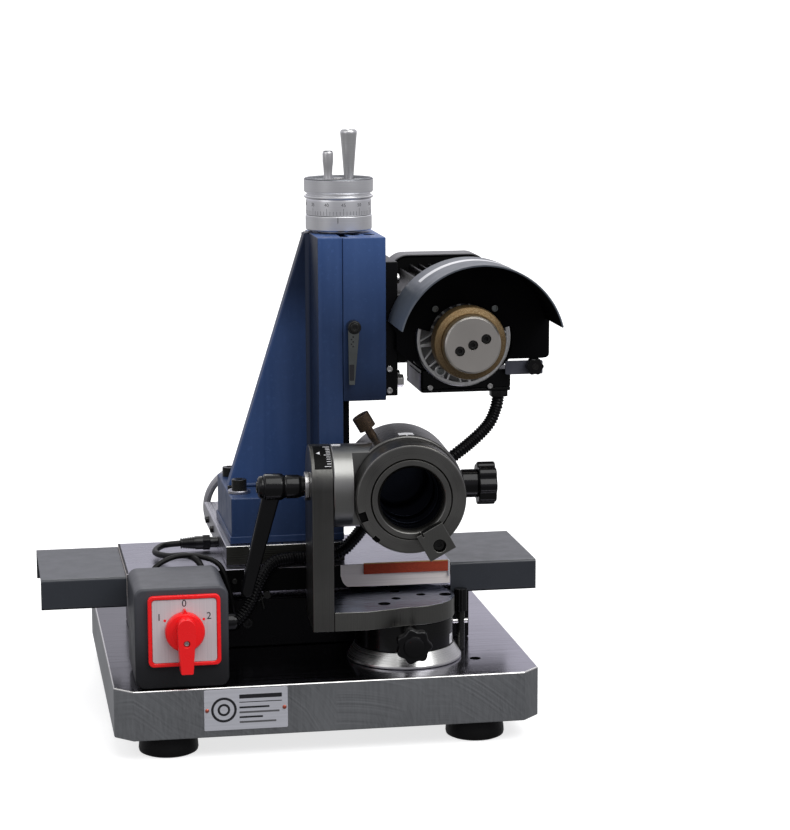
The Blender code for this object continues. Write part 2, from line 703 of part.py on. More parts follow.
def build_index():
    front = BARREL_Y[0]
    centre = (BARREL_X, 0, BARREL_Z)
    sleeve = turned(
        "work_spindle",
        "y",
        centre,
        [(0, BORE_FLOOR), (BORE_R, BORE_FLOOR), (BORE_R, front + 6), (BORE_R + 4, front + 2), (35.4, front)]
        + [(INDEX_R - 1.5, front), (INDEX_R, front + 2), (INDEX_R, -165.8), (34.1, -165.8), (34.1, BARREL_Y[1] - 0.6)]
        + [(0, BARREL_Y[1] - 0.6)],
        56,
        "gunmetal",
    )
    notches = []
    for i, turn in enumerate((199, 228)):
        angle = math.radians(turn)
        x = BARREL_X + (INDEX_R - 2.0) * math.cos(angle)
        z = BARREL_Z + (INDEX_R - 2.0) * math.sin(angle)
        notches.append(box(f"index_notch_{i}", (x - 4.4, x + 4.4), (front - 3, front + 9), (z - 4.6, z + 4.6)))
    cut(sleeve, *notches)
    pivot(sleeve, BARREL_X, -150, BARREL_Z)
    angle = math.radians(29)
    cx, cz = BARREL_X + 20.5, BARREL_Z - 37.0
    corners = []
    for a, b in ((-13, -13), (13, -13), (13, 13), (-13, 13)):
        corners.append((cx + a * math.cos(angle) - b * math.sin(angle), cz + a * math.sin(angle) + b * math.cos(angle)))
    block = prism("clamp_block", corners, "y", (front - 11, front - GAP), "gunmetal")
    soften(block, 0.6)
    cut(block, rod("clamp_block_hole", "y", (cx + 3.5, 0, cz - 3), 5.6, (front - 14, front - 4), 20))
    pivot(block, BARREL_X, front, BARREL_Z)


def build_head_screws():
    lean = math.radians(30.5)
    screw = turned(
        "cap_screw",
        "z",
        (0, 0, 0),
        [(0, 47), (3.9, 47), (3.9, 61), (8.2, 61), (8.2, 74), (7.2, 75), (4, 75), (4, 68.5), (0, 68.5)],
        20,
        "black_oxide",
    )
    origin = place(0, 0, 0)
    screw.data.transform(Matrix.Translation(-origin))
    screw.data.transform(Matrix.Rotation(-lean, 4, "Y"))
    screw.location = place(BARREL_X, -125, BARREL_Z)
    hole = bpy.data.objects["cap_screw_hole"]
    point = place(BARREL_X, -125, BARREL_Z)
    hole.data.transform(Matrix.Translation(-point))
    hole.data.transform(Matrix.Rotation(-lean, 4, "Y"))
    hole.location = point
    knob = prism("barrel_knob", lobed(KNOB_Y, BARREL_Z, 19.8, 2.2, 8), "x", (146, 163.8), "black_plastic")
    collar = rod("barrel_knob_collar", "x", (0, KNOB_Y, BARREL_Z), 13.0, (131.6, 148), 24)
    stem = rod("barrel_knob_stem", "x", (0, KNOB_Y, BARREL_Z), 4.6, (BARREL_X + 38, 133), 16)
    join(knob, collar, stem)
    pivot(knob, 147, KNOB_Y, BARREL_Z)


# ---------------------------------------------------------------- leads


def build_leads():
    gland = turned(
        "cable_gland",
        "x",
        (0, -20, 91.4),
        [(3.9, -117), (5, -117), (6.4, -112), (6.4, -98), (7.4, -97), (7.4, -91), (5, -90), (5, -81.3), (3.9, -81.3)],
        20,
        "black_plastic",
    )
    route = [(-96, -20, 91.4), (-118, -20, 91.4), (-135, -26, 91), (-143, -48, 90), (-133, -74, 92)]
    route += [(-117, -93, 96), (-107, -105.5, 91), (-104, -108.3, 74), (-104, -108.3, 30), (-104, -108.3, 0.4)]
    cable("control_cable", route, 3.4, 2, "rubber")
    arch = [(-157, -108.3, 0.4), (-157, -108.3, 34), (-156, -108.3, 66), (-152, -107.5, 85), (-143, -103, 96)]
    arch += [(-126, -98, 101), (-106, -99, 101), (-89, -106, 92), (-81, -110, 68), (-76, -106, 42)]
    arch += [(-72, -92, 27), (-70, -80, 24), (-70, -67.5, 24)]
    cable("supply_cable", arch, 3.2, 2, "rubber")
    hose = [(184, -50, 233.6), (183.6, -50.2, 228), (181.2, -51, 217), (174, -54, 203), (160, -58, 190), (138, -64, 175), (104, -70, 154)]
    hose += [(74, -77, 133), (52, -85.5, 119), (38, -93, 105.5), (24, -97.8, 95), (2, -98.2, 91), (-20, -99.6, 91), (-40, -108, 89)]
    hose += [(-53, -117, 74), (-64, -124, 54), (-77, -129, 41), (-90.1, -129, 41)]
    cable("motor_conduit", hose, 6.0, 3, "black_plastic")


def main():
    clear_scene()
    build_base()
    build_switch_box()
    build_bed()
    build_table()
    cover("cover_left", COVER_END_X[0], TABLE_X[0], -1)
    cover("cover_right", COVER_END_X[1], TABLE_X[1], 1)
    build_cross_slide()
    build_column()
    build_slide()
    build_hand_feed()
    build_motor()
    build_guard()
    build_wheel()
    build_leads()
    build_swivel_stop()
    before = {obj.name for obj in bpy.context.scene.objects}
    frame = head_frame()
    build_head_base()
    build_head_upright()
    build_barrel()
    build_index()
    build_head_screws()
    swivel_together(frame, before)


main()
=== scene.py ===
"""Looks of the gun drill grinding machine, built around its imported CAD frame."""

import json
import math
import random

import bmesh
import bpy
import numpy as np
from mathutils import Matrix, Vector

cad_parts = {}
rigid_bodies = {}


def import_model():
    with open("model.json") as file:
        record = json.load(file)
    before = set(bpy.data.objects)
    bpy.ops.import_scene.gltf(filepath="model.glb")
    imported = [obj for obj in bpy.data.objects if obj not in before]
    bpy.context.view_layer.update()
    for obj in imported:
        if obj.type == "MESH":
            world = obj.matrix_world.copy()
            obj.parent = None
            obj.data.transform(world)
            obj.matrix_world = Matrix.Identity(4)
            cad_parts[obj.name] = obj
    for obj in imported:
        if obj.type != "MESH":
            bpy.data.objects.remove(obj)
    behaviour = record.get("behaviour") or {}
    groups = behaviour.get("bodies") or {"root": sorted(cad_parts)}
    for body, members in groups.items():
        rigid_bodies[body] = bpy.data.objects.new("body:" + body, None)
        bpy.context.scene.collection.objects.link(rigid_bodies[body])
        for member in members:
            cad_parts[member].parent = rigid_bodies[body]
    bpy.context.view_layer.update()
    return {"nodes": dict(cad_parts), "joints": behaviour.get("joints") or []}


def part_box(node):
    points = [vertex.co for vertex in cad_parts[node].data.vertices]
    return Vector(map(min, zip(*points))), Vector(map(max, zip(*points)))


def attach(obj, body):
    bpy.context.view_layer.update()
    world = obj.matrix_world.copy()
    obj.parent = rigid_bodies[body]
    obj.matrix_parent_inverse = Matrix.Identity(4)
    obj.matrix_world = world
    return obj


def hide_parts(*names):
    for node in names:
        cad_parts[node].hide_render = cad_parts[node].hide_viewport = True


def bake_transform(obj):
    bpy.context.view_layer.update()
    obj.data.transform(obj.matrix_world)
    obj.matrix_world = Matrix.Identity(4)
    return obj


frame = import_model()

# ---------------------------------------------------------------- layout
# Shapes are laid out in mm from the middle of the base plate's top face.

_low, _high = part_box("base_plate")
CENTRE = Vector(((_low.x + _high.x) / 2, (_low.y + _high.y) / 2, _high.z))
LAYOUT = Matrix.Translation(CENTRE) @ Matrix.Scale(0.001, 4)
JOINTS = {joint["name"]: joint for joint in frame["joints"]}


def head_layout():
    """Layout of the workhead, turned about the swivel axis as it stands at rest."""
    axis = JOINTS["work_spindle"]["axis"]
    turn = math.atan2(-axis[0], axis[1])
    pivot = LAYOUT.inverted() @ Vector(JOINTS["head_swivel"]["pos_m"])
    about = Matrix.Translation((pivot.x, pivot.y, 0))
    return LAYOUT @ about @ Matrix.Rotation(turn, 4, "Z") @ about.inverted()


HEAD = head_layout()
here = {"body": "base", "layout": LAYOUT}


def on(body, layout=LAYOUT):
    """Pieces made from here on ride on this body and are laid out in this frame."""
    here["body"] = body
    here["layout"] = layout


def span(node):
    """Lowest and highest corner of a CAD node, in the current layout, in mm."""
    back = here["layout"].inverted()
    points = np.array([back @ v.co for v in frame["nodes"][node].data.vertices])
    return Vector(points.min(0)), Vector(points.max(0))


# ---------------------------------------------------------------- materials


def fill_ramp(node, stops):
    """Gives a colour ramp node its (position, colour) stops, lowest first."""
    elements = node.color_ramp.elements
    elements[0].position, elements[1].position = stops[0][0], stops[-1][0]
    elements[0].color, elements[1].color = (*stops[0][1], 1), (*stops[-1][1], 1)
    for position, colour in stops[1:-1]:
        elements.new(position).color = (*colour, 1)


class Shade:
    """A small helper that builds one procedural material."""

    def __init__(self, name, rough, metal=0.0, specular=0.5, coat=0.0, coat_rough=0.1):
        self.material = bpy.data.materials.new(name)
        self.material.use_nodes = True
        self.tree = self.material.node_tree
        self.shader = self.tree.nodes["Principled BSDF"]
        self.set("Roughness", rough)
        self.set("Metallic", metal)
        self.set("Specular IOR Level", specular)
        if coat:
            self.set("Coat Weight", coat)
            self.set("Coat Roughness", coat_rough)
        self.coords = self.node("ShaderNodeTexCoord").outputs["Object"]

    def set(self, socket, value):
        self.shader.inputs[socket].default_value = value

    def node(self, kind, **values):
        made = self.tree.nodes.new(kind)
        for key, value in values.items():
            setattr(made, key, value)
        return made

    def link(self, source, target):
        self.tree.links.new(source, target)

    def place(self, stretch=(1, 1, 1), turn=(0, 0, 0)):
        mapping = self.node("ShaderNodeMapping")
        mapping.inputs["Scale"].default_value = stretch
        mapping.inputs["Rotation"].default_value = turn
        self.link(self.coords, mapping.inputs["Vector"])
        return mapping.outputs["Vector"]

    def noise(self, scale, detail=3.0, stretch=(1, 1, 1), distortion=0.0, turn=(0, 0, 0)):
        texture = self.node("ShaderNodeTexNoise")
        texture.inputs["Scale"].default_value = scale
        texture.inputs["Detail"].default_value = detail
        texture.inputs["Distortion"].default_value = distortion
        self.link(self.place(stretch, turn), texture.inputs["Vector"])
        return texture.outputs["Fac"]

    def cells(self, scale):
        texture = self.node("ShaderNodeTexVoronoi")
        texture.inputs["Scale"].default_value = scale
        self.link(self.place(), texture.inputs["Vector"])
        return texture.outputs["Distance"]

    def ramp(self, source, stops):
        ramp = self.node("ShaderNodeValToRGB")
        fill_ramp(ramp, stops)
        self.link(source, ramp.inputs["Fac"])
        return ramp.outputs["Color"]

    def spread(self, source, low, high, start=0.3, end=0.7):
        scale = self.node("ShaderNodeMapRange")
        scale.inputs["From Min"].default_value = start
        scale.inputs["From Max"].default_value = end
        scale.inputs["To Min"].default_value = low
        scale.inputs["To Max"].default_value = high
        self.link(source, scale.inputs["Value"])
        return scale.outputs["Result"]

    def mix(self, factor, first, second, blend="MIX"):
        mixer = self.node("ShaderNodeMix", data_type="RGBA", blend_type=blend)
        for socket, value in ((mixer.inputs["Factor"], factor), (mixer.inputs["A"], first), (mixer.inputs["B"], second)):
            if isinstance(value, (int, float)):
                socket.default_value = value
            elif isinstance(value, tuple):
                socket.default_value = (*value, 1.0)
            else:
                self.link(value, socket)
        return mixer.outputs["Result"]

    def edges(self, radius):
        """1 along edges, 0 on flat stretches; it places the painted edge highlights."""
        bevel = self.node("ShaderNodeBevel", samples=4)
        bevel.inputs["Radius"].default_value = radius
        geometry = self.node("ShaderNodeNewGeometry")
        dot = self.node("ShaderNodeVectorMath", operation="DOT_PRODUCT")
        self.link(bevel.outputs["Normal"], dot.inputs[0])
        self.link(geometry.outputs["Normal"], dot.inputs[1])
        return self.spread(dot.outputs["Value"], 1.0, 0.0, 0.75, 0.995)

    def paint_light_along(self, base, stops, axis="z"):
        """Paints light and shade onto a colour along an axis of the layout: stops are (mm, factor), lowest first."""
        low, high = stops[0][0], stops[-1][0]
        part = self.node("ShaderNodeSeparateXYZ")
        self.link(self.coords, part.inputs["Vector"])
        span_of = self.node("ShaderNodeMapRange")
        span_of.inputs["From Min"].default_value = getattr(LAYOUT @ Vector((low, low, low)), axis)
        span_of.inputs["From Max"].default_value = getattr(LAYOUT @ Vector((high, high, high)), axis)
        self.link(part.outputs[axis.upper()], span_of.inputs["Value"])
        painted_light_ramp = self.ramp(span_of.outputs["Result"], [((place - low) / (high - low), (f / 2,) * 3) for place, f in stops])
        both = self.node("ShaderNodeVectorMath", operation="MULTIPLY")
        self.link(base, both.inputs[0])
        self.link(painted_light_ramp, both.inputs[1])
        double = self.node("ShaderNodeVectorMath", operation="SCALE")
        double.inputs["Scale"].default_value = 2.0
        self.link(both.outputs["Vector"], double.inputs[0])
        return double.outputs["Vector"]

    def colour(self, source):
        self.link(source, self.shader.inputs["Base Color"])

    def rough(self, source):
        self.link(source, self.shader.inputs["Roughness"])

    def bump(self, *heights):
        """Stacks (height, strength, depth in metres) into the normal."""
        normal = None
        for height, strength, depth in heights:
            bump = self.node("ShaderNodeBump")
            bump.inputs["Strength"].default_value = strength
            bump.inputs["Distance"].default_value = depth
            self.link(height, bump.inputs["Height"])
            if normal:
                self.link(normal, bump.inputs["Normal"])
            normal = bump.outputs["Normal"]
        self.link(normal, self.shader.inputs["Normal"])


def tone(colour, factor):
    return tuple(min(1.0, c * factor) for c in colour)


def painted(name, colour, rough, edge=None, peel=0.12, specular=0.5, vary=0.12, streaks=0.0, painted_light_by_height=None):
    shade = Shade(name, rough, specular=specular)
    blotch = shade.noise(14, 4)
    base = shade.ramp(blotch, ((0.3, tone(colour, 1 - vary)), (0.7, tone(colour, 1 + vary))))
    if streaks:
        runs = shade.noise(2.2, 4, (30, 30, 1.6), 0.4)
        base = shade.mix(shade.spread(runs, 0.0, streaks), base, (colour[0] * 0.25, colour[1] * 0.45, colour[2] * 0.6))
    dust = shade.noise(260, 3)
    base = shade.mix(shade.spread(dust, 0.0, 0.25, 0.58, 0.75), base, tone(colour, 1.5))
    # Painted light and shade: the colour grows lighter or darker with height.
    if painted_light_by_height:
        base = shade.paint_light_along(base, painted_light_by_height)
    # Lightened edges: partly wear, partly painted edge highlight.
    if edge:
        wear_and_highlight = shade.node("ShaderNodeMath", operation="MULTIPLY")
        shade.link(shade.edges(0.0012), wear_and_highlight.inputs[0])
        shade.link(shade.spread(shade.noise(90, 4), 0.1, 0.9, 0.35, 0.65), wear_and_highlight.inputs[1])
        base = shade.mix(wear_and_highlight.outputs["Value"], base, edge)
    shade.colour(base)
    shade.rough(shade.spread(shade.noise(60, 3), rough - 0.05, rough + 0.07))
    shade.bump((shade.noise(700, 2), peel, 0.0003), (shade.noise(60, 2), 0.05, 0.0006))
    return shade.material


def ground(name, colour, rough, along, metal=1.0, depth=0.25, vary=0.18, specular=0.5, edge=0.0, painted_light_ramp=None):
    """Ground or brushed metal, with its lines along one axis."""
    stretch = {"x": (6, 420, 420), "y": (420, 6, 420), "z": (420, 420, 6)}[along]
    shade = Shade(name, rough, metal, specular)
    lines = shade.noise(1.6, 5, stretch)
    blotch = shade.noise(11, 4, distortion=0.6)
    base = shade.ramp(blotch, ((0.3, tone(colour, 1 - vary)), (0.7, tone(colour, 1 + vary))))
    base = shade.mix(shade.spread(lines, 0.0, 0.5), base, tone(colour, 0.72))
    # Painted edge highlight: edges made lighter.
    if edge:
        base = shade.mix(shade.edges(0.001), base, tone(colour, edge))
    # Painted light and shade: the colour grows lighter or darker along x.
    if painted_light_ramp:
        base = shade.paint_light_along(base, painted_light_ramp, "x")
    shade.colour(base)
    shade.rough(shade.spread(lines, rough - 0.07, rough + 0.1))
    shade.bump((lines, depth, 0.0002))
    return shade.material


def turned_metal(name, colour, rough, axis, centre, metal=1.0, depth=0.2, vary=0.12, turn=0.0, edge=0.0, rings_seen=0.4):
    """Metal with fine lathe rings about an axis, which may be turned about the vertical."""
    shade = Shade(name, rough, metal)
    move = shade.node("ShaderNodeVectorMath", operation="SUBTRACT")
    move.inputs[1].default_value = (HEAD if turn else LAYOUT) @ Vector(centre)
    shade.link(shade.coords, move.inputs[0])
    square = shade.node("ShaderNodeVectorRotate", rotation_type="Z_AXIS")
    square.inputs["Angle"].default_value = -turn
    shade.link(move.outputs["Vector"], square.inputs["Vector"])
    flat = shade.node("ShaderNodeVectorMath", operation="MULTIPLY")
    flat.inputs[1].default_value = tuple(0.0 if a == axis else 1.0 for a in "xyz")
    shade.link(square.outputs["Vector"], flat.inputs[0])
    length = shade.node("ShaderNodeVectorMath", operation="LENGTH")
    shade.link(flat.outputs["Vector"], length.inputs[0])
    part = shade.node("ShaderNodeSeparateXYZ")
    shade.link(square.outputs["Vector"], part.inputs["Vector"])
    both = shade.node("ShaderNodeCombineXYZ")
    shade.link(length.outputs["Value"], both.inputs["X"])
    shade.link(part.outputs[axis.upper()], both.inputs["Y"])
    rings = shade.node("ShaderNodeTexNoise")
    rings.inputs["Scale"].default_value = 1900
    rings.inputs["Detail"].default_value = 2
    shade.link(both.outputs["Vector"], rings.inputs["Vector"])
    rings = rings.outputs["Fac"]
    blotch = shade.noise(22, 3)
    base = shade.ramp(blotch, ((0.3, tone(colour, 1 - vary)), (0.7, tone(colour, 1 + vary))))
    base = shade.mix(shade.spread(rings, 0.0, rings_seen), base, tone(colour, 0.7))
    # Painted edge highlight: edges made lighter.
    if edge:
        base = shade.mix(shade.edges(0.001), base, tone(colour, edge))
    shade.colour(base)
    shade.rough(shade.spread(rings, rough - 0.15 * rings_seen, rough + 0.2 * rings_seen))
    shade.bump((rings, depth, 0.0001))
    return shade.material


def grainy(name, colour, rough, metal=0.0, grain=500, depth=0.4, vary=0.2, specular=0.5, second=None, painted_light_by_height=None):
    """Cast, moulded or gritty surface."""
    shade = Shade(name, rough, metal, specular)
    fine = shade.noise(grain, 4)
    blotch = shade.noise(18, 4)
    base = shade.ramp(blotch, ((0.3, tone(colour, 1 - vary)), (0.7, tone(colour, 1 + vary))))
    if second:
        base = shade.mix(shade.spread(shade.cells(grain * 2), 0.8, 0.0, 0.15, 0.5), base, second)
    # Painted light and shade: the colour grows lighter or darker with height.
    if painted_light_by_height:
        base = shade.paint_light_along(base, painted_light_by_height)
    shade.colour(shade.mix(shade.spread(fine, 0.35, 0.0), base, tone(colour, 0.55)))
    shade.rough(shade.spread(fine, rough - 0.06, rough + 0.08))
    shade.bump((fine, depth, 0.0004))
    return shade.material


def whorled(name, colour, rough):
    """Steel sides ground by hand with a disc, which leaves overlapping curved scratches."""
    shade = Shade(name, rough, 1.0)
    arcs = []
    for centre, size in (((0.31, 0.0, 0.23), 900), ((-0.27, 0.1, -0.16), 1150), ((0.05, -0.2, 0.4), 1000)):
        move = shade.node("ShaderNodeVectorMath", operation="SUBTRACT")
        move.inputs[1].default_value = centre
        shade.link(shade.place((3.2, 3.2, 2.6)), move.inputs[0])
        wrap = shade.node("ShaderNodeVectorMath", operation="FRACTION")
        shade.link(move.outputs["Vector"], wrap.inputs[0])
        length = shade.node("ShaderNodeVectorMath", operation="LENGTH")
        shade.link(wrap.outputs["Vector"], length.inputs[0])
        lines = shade.node("ShaderNodeTexNoise", noise_dimensions="1D")
        lines.inputs["Scale"].default_value = size / 4
        lines.inputs["Detail"].default_value = 3
        shade.link(length.outputs["Value"], lines.inputs["W"])
        arcs.append(lines.outputs["Fac"])
    patch = shade.spread(shade.noise(16, 3, distortion=0.8), 0.0, 1.0, 0.35, 0.65)
    lines = shade.mix(patch, arcs[0], arcs[1])
    lines = shade.mix(shade.spread(shade.noise(9, 2), 0.0, 1.0, 0.45, 0.6), lines, arcs[2])
    blotch = shade.noise(10, 5, distortion=0.5)
    base = shade.ramp(blotch, ((0.3, tone(colour, 0.72)), (0.7, tone(colour, 1.2))))
    brush = shade.noise(1.4, 5, (300, 300, 40), 0.3)
    base = shade.mix(shade.spread(brush, 0.0, 0.5), base, tone(colour, 1.5))
    shade.colour(shade.mix(shade.spread(lines, 0.0, 0.3, 0.35, 0.65), base, tone(colour, 1.5)))
    shade.rough(shade.spread(lines, rough - 0.05, rough + 0.08))
    shade.bump((lines, 0.05, 0.0002), (brush, 0.1, 0.0002))
    return shade.material


def felt(name, colour, second):
    shade = Shade(name, 0.95, specular=0.1)
    fibres = shade.noise(900, 5, (1, 1, 2.5), 1.5)
    base = shade.ramp(fibres, ((0.35, tone(colour, 0.6)), (0.6, colour), (0.75, second)))
    shade.colour(base)
    shade.set("Sheen Weight", 0.4)
    shade.bump((fibres, 0.6, 0.0006))
    return shade.material


TILT_Z = 167.0  # height of the tilting axis; the barrel's own axis is lower
BARREL_Z = 162.0
TURN = math.atan2(HEAD[1][0], HEAD[0][0])
LOOKS = {
    # Base top: painted shade, darker towards the left where the cover and switch box stand, lighter to the right.
    "base_top": ground("base_top", (0.34, 0.33, 0.385), 0.17, "x", depth=0.03, vary=0.08, painted_light_ramp=((-195, 0.4), (-60, 0.5), (90, 1.0), (195, 1.3))),
    "base_side": whorled("base_side", (0.30, 0.31, 0.32), 0.36),
    # Chamfers painted almost white: a painted highlight line along the edge.
    "painted_highlight_edge": ground("painted_highlight_edge", (0.85, 0.84, 0.82), 0.22, "x", depth=0.1, vary=0.06),
    "table_top": ground("table_top", (0.31, 0.305, 0.36), 0.3, "x", depth=0.1, vary=0.07),
    "table_front": ground("table_front", (0.93, 0.86, 0.82), 0.42, "x", metal=0.0, depth=0.2, vary=0.06),
    "plate_steel": ground("plate_steel", (0.44, 0.44, 0.48), 0.3, "y", depth=0.12, vary=0.1),
    "plate_dark": ground("plate_dark", (0.03, 0.03, 0.026), 0.25, "x", metal=0.3, depth=0.05, specular=0.3),
    # Matte black: the tilt scale and end seal; on the table front it is painted shade.
    "matte_black_and_painted_shade": painted("matte_black_and_painted_shade", (0.002, 0.002, 0.002), 0.35, peel=0.03, specular=0.06),
    "sheet_paint": painted("sheet_paint", (0.030, 0.034, 0.042), 0.34, peel=0.06, vary=0.06),
    # Switch box paint: painted shade, darker towards the bottom, and lightened edges as painted highlight.
    "box_paint": painted("box_paint", (0.048, 0.050, 0.058), 0.42, edge=(0.11, 0.115, 0.13), peel=0.2, specular=0.3, vary=0.07, painted_light_by_height=((0, 0.15), (20, 0.3), (50, 0.85), (82, 1.2))),
    # Blue paints: painted light and shade by height (column lighter at the top, slide darker at the bottom, rib darker
    # at the top), and lightened edges as painted highlight.
    "blue_paint": painted("blue_paint", (0.034, 0.066, 0.165), 0.36, edge=(0.08, 0.115, 0.22), peel=0.2, specular=0.25, vary=0.1, streaks=0.6, painted_light_by_height=((60, 0.85), (300, 0.7), (340, 1.1), (400, 2.0))),
    "blue_slide": painted("blue_slide", (0.034, 0.066, 0.165), 0.36, edge=(0.08, 0.115, 0.22), peel=0.2, specular=0.25, vary=0.08, streaks=0.3, painted_light_by_height=((236, 0.28), (265, 0.62), (330, 0.95), (400, 2.0))),
    "blue_rib": painted("blue_rib", (0.034, 0.066, 0.165), 0.36, edge=(0.08, 0.115, 0.22), peel=0.2, specular=0.25, vary=0.1, streaks=0.5, painted_light_by_height=((60, 1.2), (290, 1.15), (335, 0.4), (400, 0.12))),
    # Darker copy of the blue paint: painted shade, for the post's left face and the fillets beside the rib.
    "blue_painted_shade": painted("blue_painted_shade", (0.009, 0.019, 0.05), 0.4, peel=0.2, vary=0.1),
    # Black paint: lightened edges as painted highlight.
    "black_paint": painted("black_paint", (0.0035, 0.0035, 0.004), 0.28, edge=(0.03, 0.03, 0.033), peel=0.1, specular=0.13),
    # Guard paint: painted light, lighter towards the bottom of the band, and lightened edges as painted highlight.
    "guard_paint": painted("guard_paint", (0.058, 0.068, 0.084), 0.34, edge=(0.13, 0.13, 0.14), peel=0.15, painted_light_by_height=((270, 1.6), (310, 1.4), (363, 1.0))),
    # Near-black for the inside of the guard: painted shade.
    "guard_inside_painted_shade": painted("guard_inside_painted_shade", (0.002, 0.002, 0.0025), 0.5, peel=0.1, specular=0.06),
    "black_oxide": grainy("black_oxide", (0.018, 0.018, 0.017), 0.24, 0.5, 700, 0.12),
    "brown_oxide": grainy("brown_oxide", (0.06, 0.042, 0.03), 0.3, 0.8, 700, 0.15, 0.5, second=(0.2, 0.13, 0.07)),
    # Gunmetal and head casting: lightened edges as painted highlight.
    "gunmetal": ground("gunmetal", (0.155, 0.155, 0.145), 0.32, "z", depth=0.12, vary=0.2, edge=2.4),
    "head_grain": ground("head_grain", (0.115, 0.114, 0.108), 0.36, "z", depth=0.2, vary=0.3, edge=2.6),
    # Top face of the head plate, lighter and bluer than its gunmetal: painted reflection.
    "plate_top_painted_reflection": ground("plate_top_painted_reflection", (0.30, 0.335, 0.43), 0.26, "x", depth=0.05, vary=0.12),
    "disc_dark": turned_metal("disc_dark", (0.03, 0.03, 0.03), 0.2, "z", (79.5, -122.4, 0), metal=0.9, depth=0.06),
    "ring_bright": turned_metal("ring_bright", (0.62, 0.62, 0.61), 0.28, "z", (79.5, -122.4, 0), depth=0.12, vary=0.2),
    # Turned faces of the barrel: lightened edges as painted highlight.
    "face_turned": turned_metal("face_turned", (0.18, 0.178, 0.168), 0.32, "y", (77.5, 0, 162), depth=0.1, vary=0.25, turn=TURN, edge=2.4),
    "barrel_turned": turned_metal("barrel_turned", (0.155, 0.153, 0.148), 0.29, "y", (77.5, 0, 162), depth=0.1, turn=TURN, edge=2.2),
    # Trunnion steel, lighter than the barrel's to carry its highlight: painted highlight, with lightened edges.
    "trunnion_turned": turned_metal("trunnion_turned", (0.27, 0.27, 0.26), 0.33, "x", (0, -147, TILT_Z), depth=0.015, turn=TURN, edge=1.5, rings_seen=0.08),
    "lever_steel": ground("lever_steel", (0.21, 0.225, 0.22), 0.2, "z", depth=0.05, vary=0.45),
    "bright_steel": ground("bright_steel", (0.62, 0.61, 0.6), 0.24, "z", depth=0.1),
    "flange_steel": turned_metal("flange_steel", (0.62, 0.59, 0.545), 0.34, "y", (147, 0, 286), depth=0.1, vary=0.08),
    "satin_aluminium": turned_metal("satin_aluminium", (0.93, 0.935, 0.95), 0.34, "z", (36.5, -22, 0), depth=0.1, vary=0.05),
    # Dark copy of the aluminium for the dished tops of the handwheel and grips: painted shade.
    "dish_painted_shade": turned_metal("dish_painted_shade", (0.17, 0.175, 0.19), 0.4, "z", (36.5, -22, 0), depth=0.1, vary=0.15),
    "grip_aluminium": turned_metal("grip_aluminium", (0.80, 0.80, 0.80), 0.34, "z", (48.5, -8, 0), depth=0.1, vary=0.05),
    "side_plate": painted("side_plate", (0.20, 0.19, 0.26), 0.4, peel=0.06),
    # Dark copy of the cast aluminium for the pocket floor between the ribs: painted shade.
    "bell_pocket_painted_shade": grainy("bell_pocket_painted_shade", (0.16, 0.16, 0.155), 0.4, 0.8, 420, 0.5, 0.2),
    "cast_aluminium": grainy("cast_aluminium", (0.72, 0.72, 0.71), 0.34, 0.95, 420, 0.5, 0.15),
    "wheel_iron": grainy("wheel_iron", (0.32, 0.32, 0.34), 0.4, 0.7, 300, 0.3, 0.1),
    "black_plastic": grainy("black_plastic", (0.003, 0.003, 0.0035), 0.15, 0, 900, 0.04, specular=0.3),
    "conduit_black": grainy("conduit_black", (0.003, 0.003, 0.0035), 0.25, 0, 800, 0.08, specular=0.13),
    "red_plastic": painted("red_plastic", (0.95, 0.013, 0.016), 0.28, peel=0.06, vary=0.05, specular=0.4),
    "rubber": grainy("rubber", (0.0035, 0.0035, 0.0035), 0.45, 0, 450, 0.3, specular=0.2),
    "red_felt": felt("red_felt", (0.46, 0.065, 0.03), (0.7, 0.14, 0.05)),
    "amber_strip": felt("amber_strip", (0.60, 0.36, 0.15), (0.8, 0.5, 0.25)),
    # Abrasive: lighter grains, and painted light, brighter towards the top of the wheel.
    "gold_abrasive": grainy("gold_abrasive", (0.28, 0.175, 0.075), 0.5, 0.5, 700, 0.9, 0.35, second=(0.62, 0.52, 0.3), painted_light_by_height=((250, 0.5), (290, 0.6), (308, 1.4), (321, 2.0))),
    "brass_rim": turned_metal("brass_rim", (0.26, 0.2, 0.12), 0.35, "y", (147, 0, 286)),
    "silver_plate": ground("silver_plate", (0.62, 0.63, 0.68), 0.42, "x", metal=0.3, depth=0.05, vary=0.04),
    "dial_plate": ground("dial_plate", (0.66, 0.62, 0.64), 0.4, "z", metal=0.1, depth=0.04, vary=0.03),
    "grey_cap": painted("grey_cap", (0.07, 0.07, 0.075), 0.36, peel=0.12),
    "pale_paint": painted("pale_paint", (0.085, 0.09, 0.115), 0.3, peel=0.06),
    "label_white": painted("label_white", (0.66, 0.66, 0.68), 0.5, peel=0.03, vary=0.05),
    "ink": painted("ink", (0.008, 0.008, 0.011), 0.5, peel=0.02),
    "mark_grey": painted("mark_grey", (0.10, 0.10, 0.105), 0.5, peel=0.02),
    "copper": ground("copper", (0.5, 0.12, 0.08), 0.35, "x", metal=0.7),
    # Near-black for holes, counterbores, notches and the inside of the fan cover: painted shade.
    "painted_shade_black": painted("painted_shade_black", (0.001, 0.001, 0.001), 0.7, peel=0.02, specular=0.1),
    # Near-black bore metal: painted shade inside the bore.
    "bore_painted_shade": turned_metal("bore_painted_shade", (0.012, 0.014, 0.02), 0.16, "y", (77.5, 0, 162), depth=0.2, turn=TURN),
}

# ---------------------------------------------------------------- shape helpers


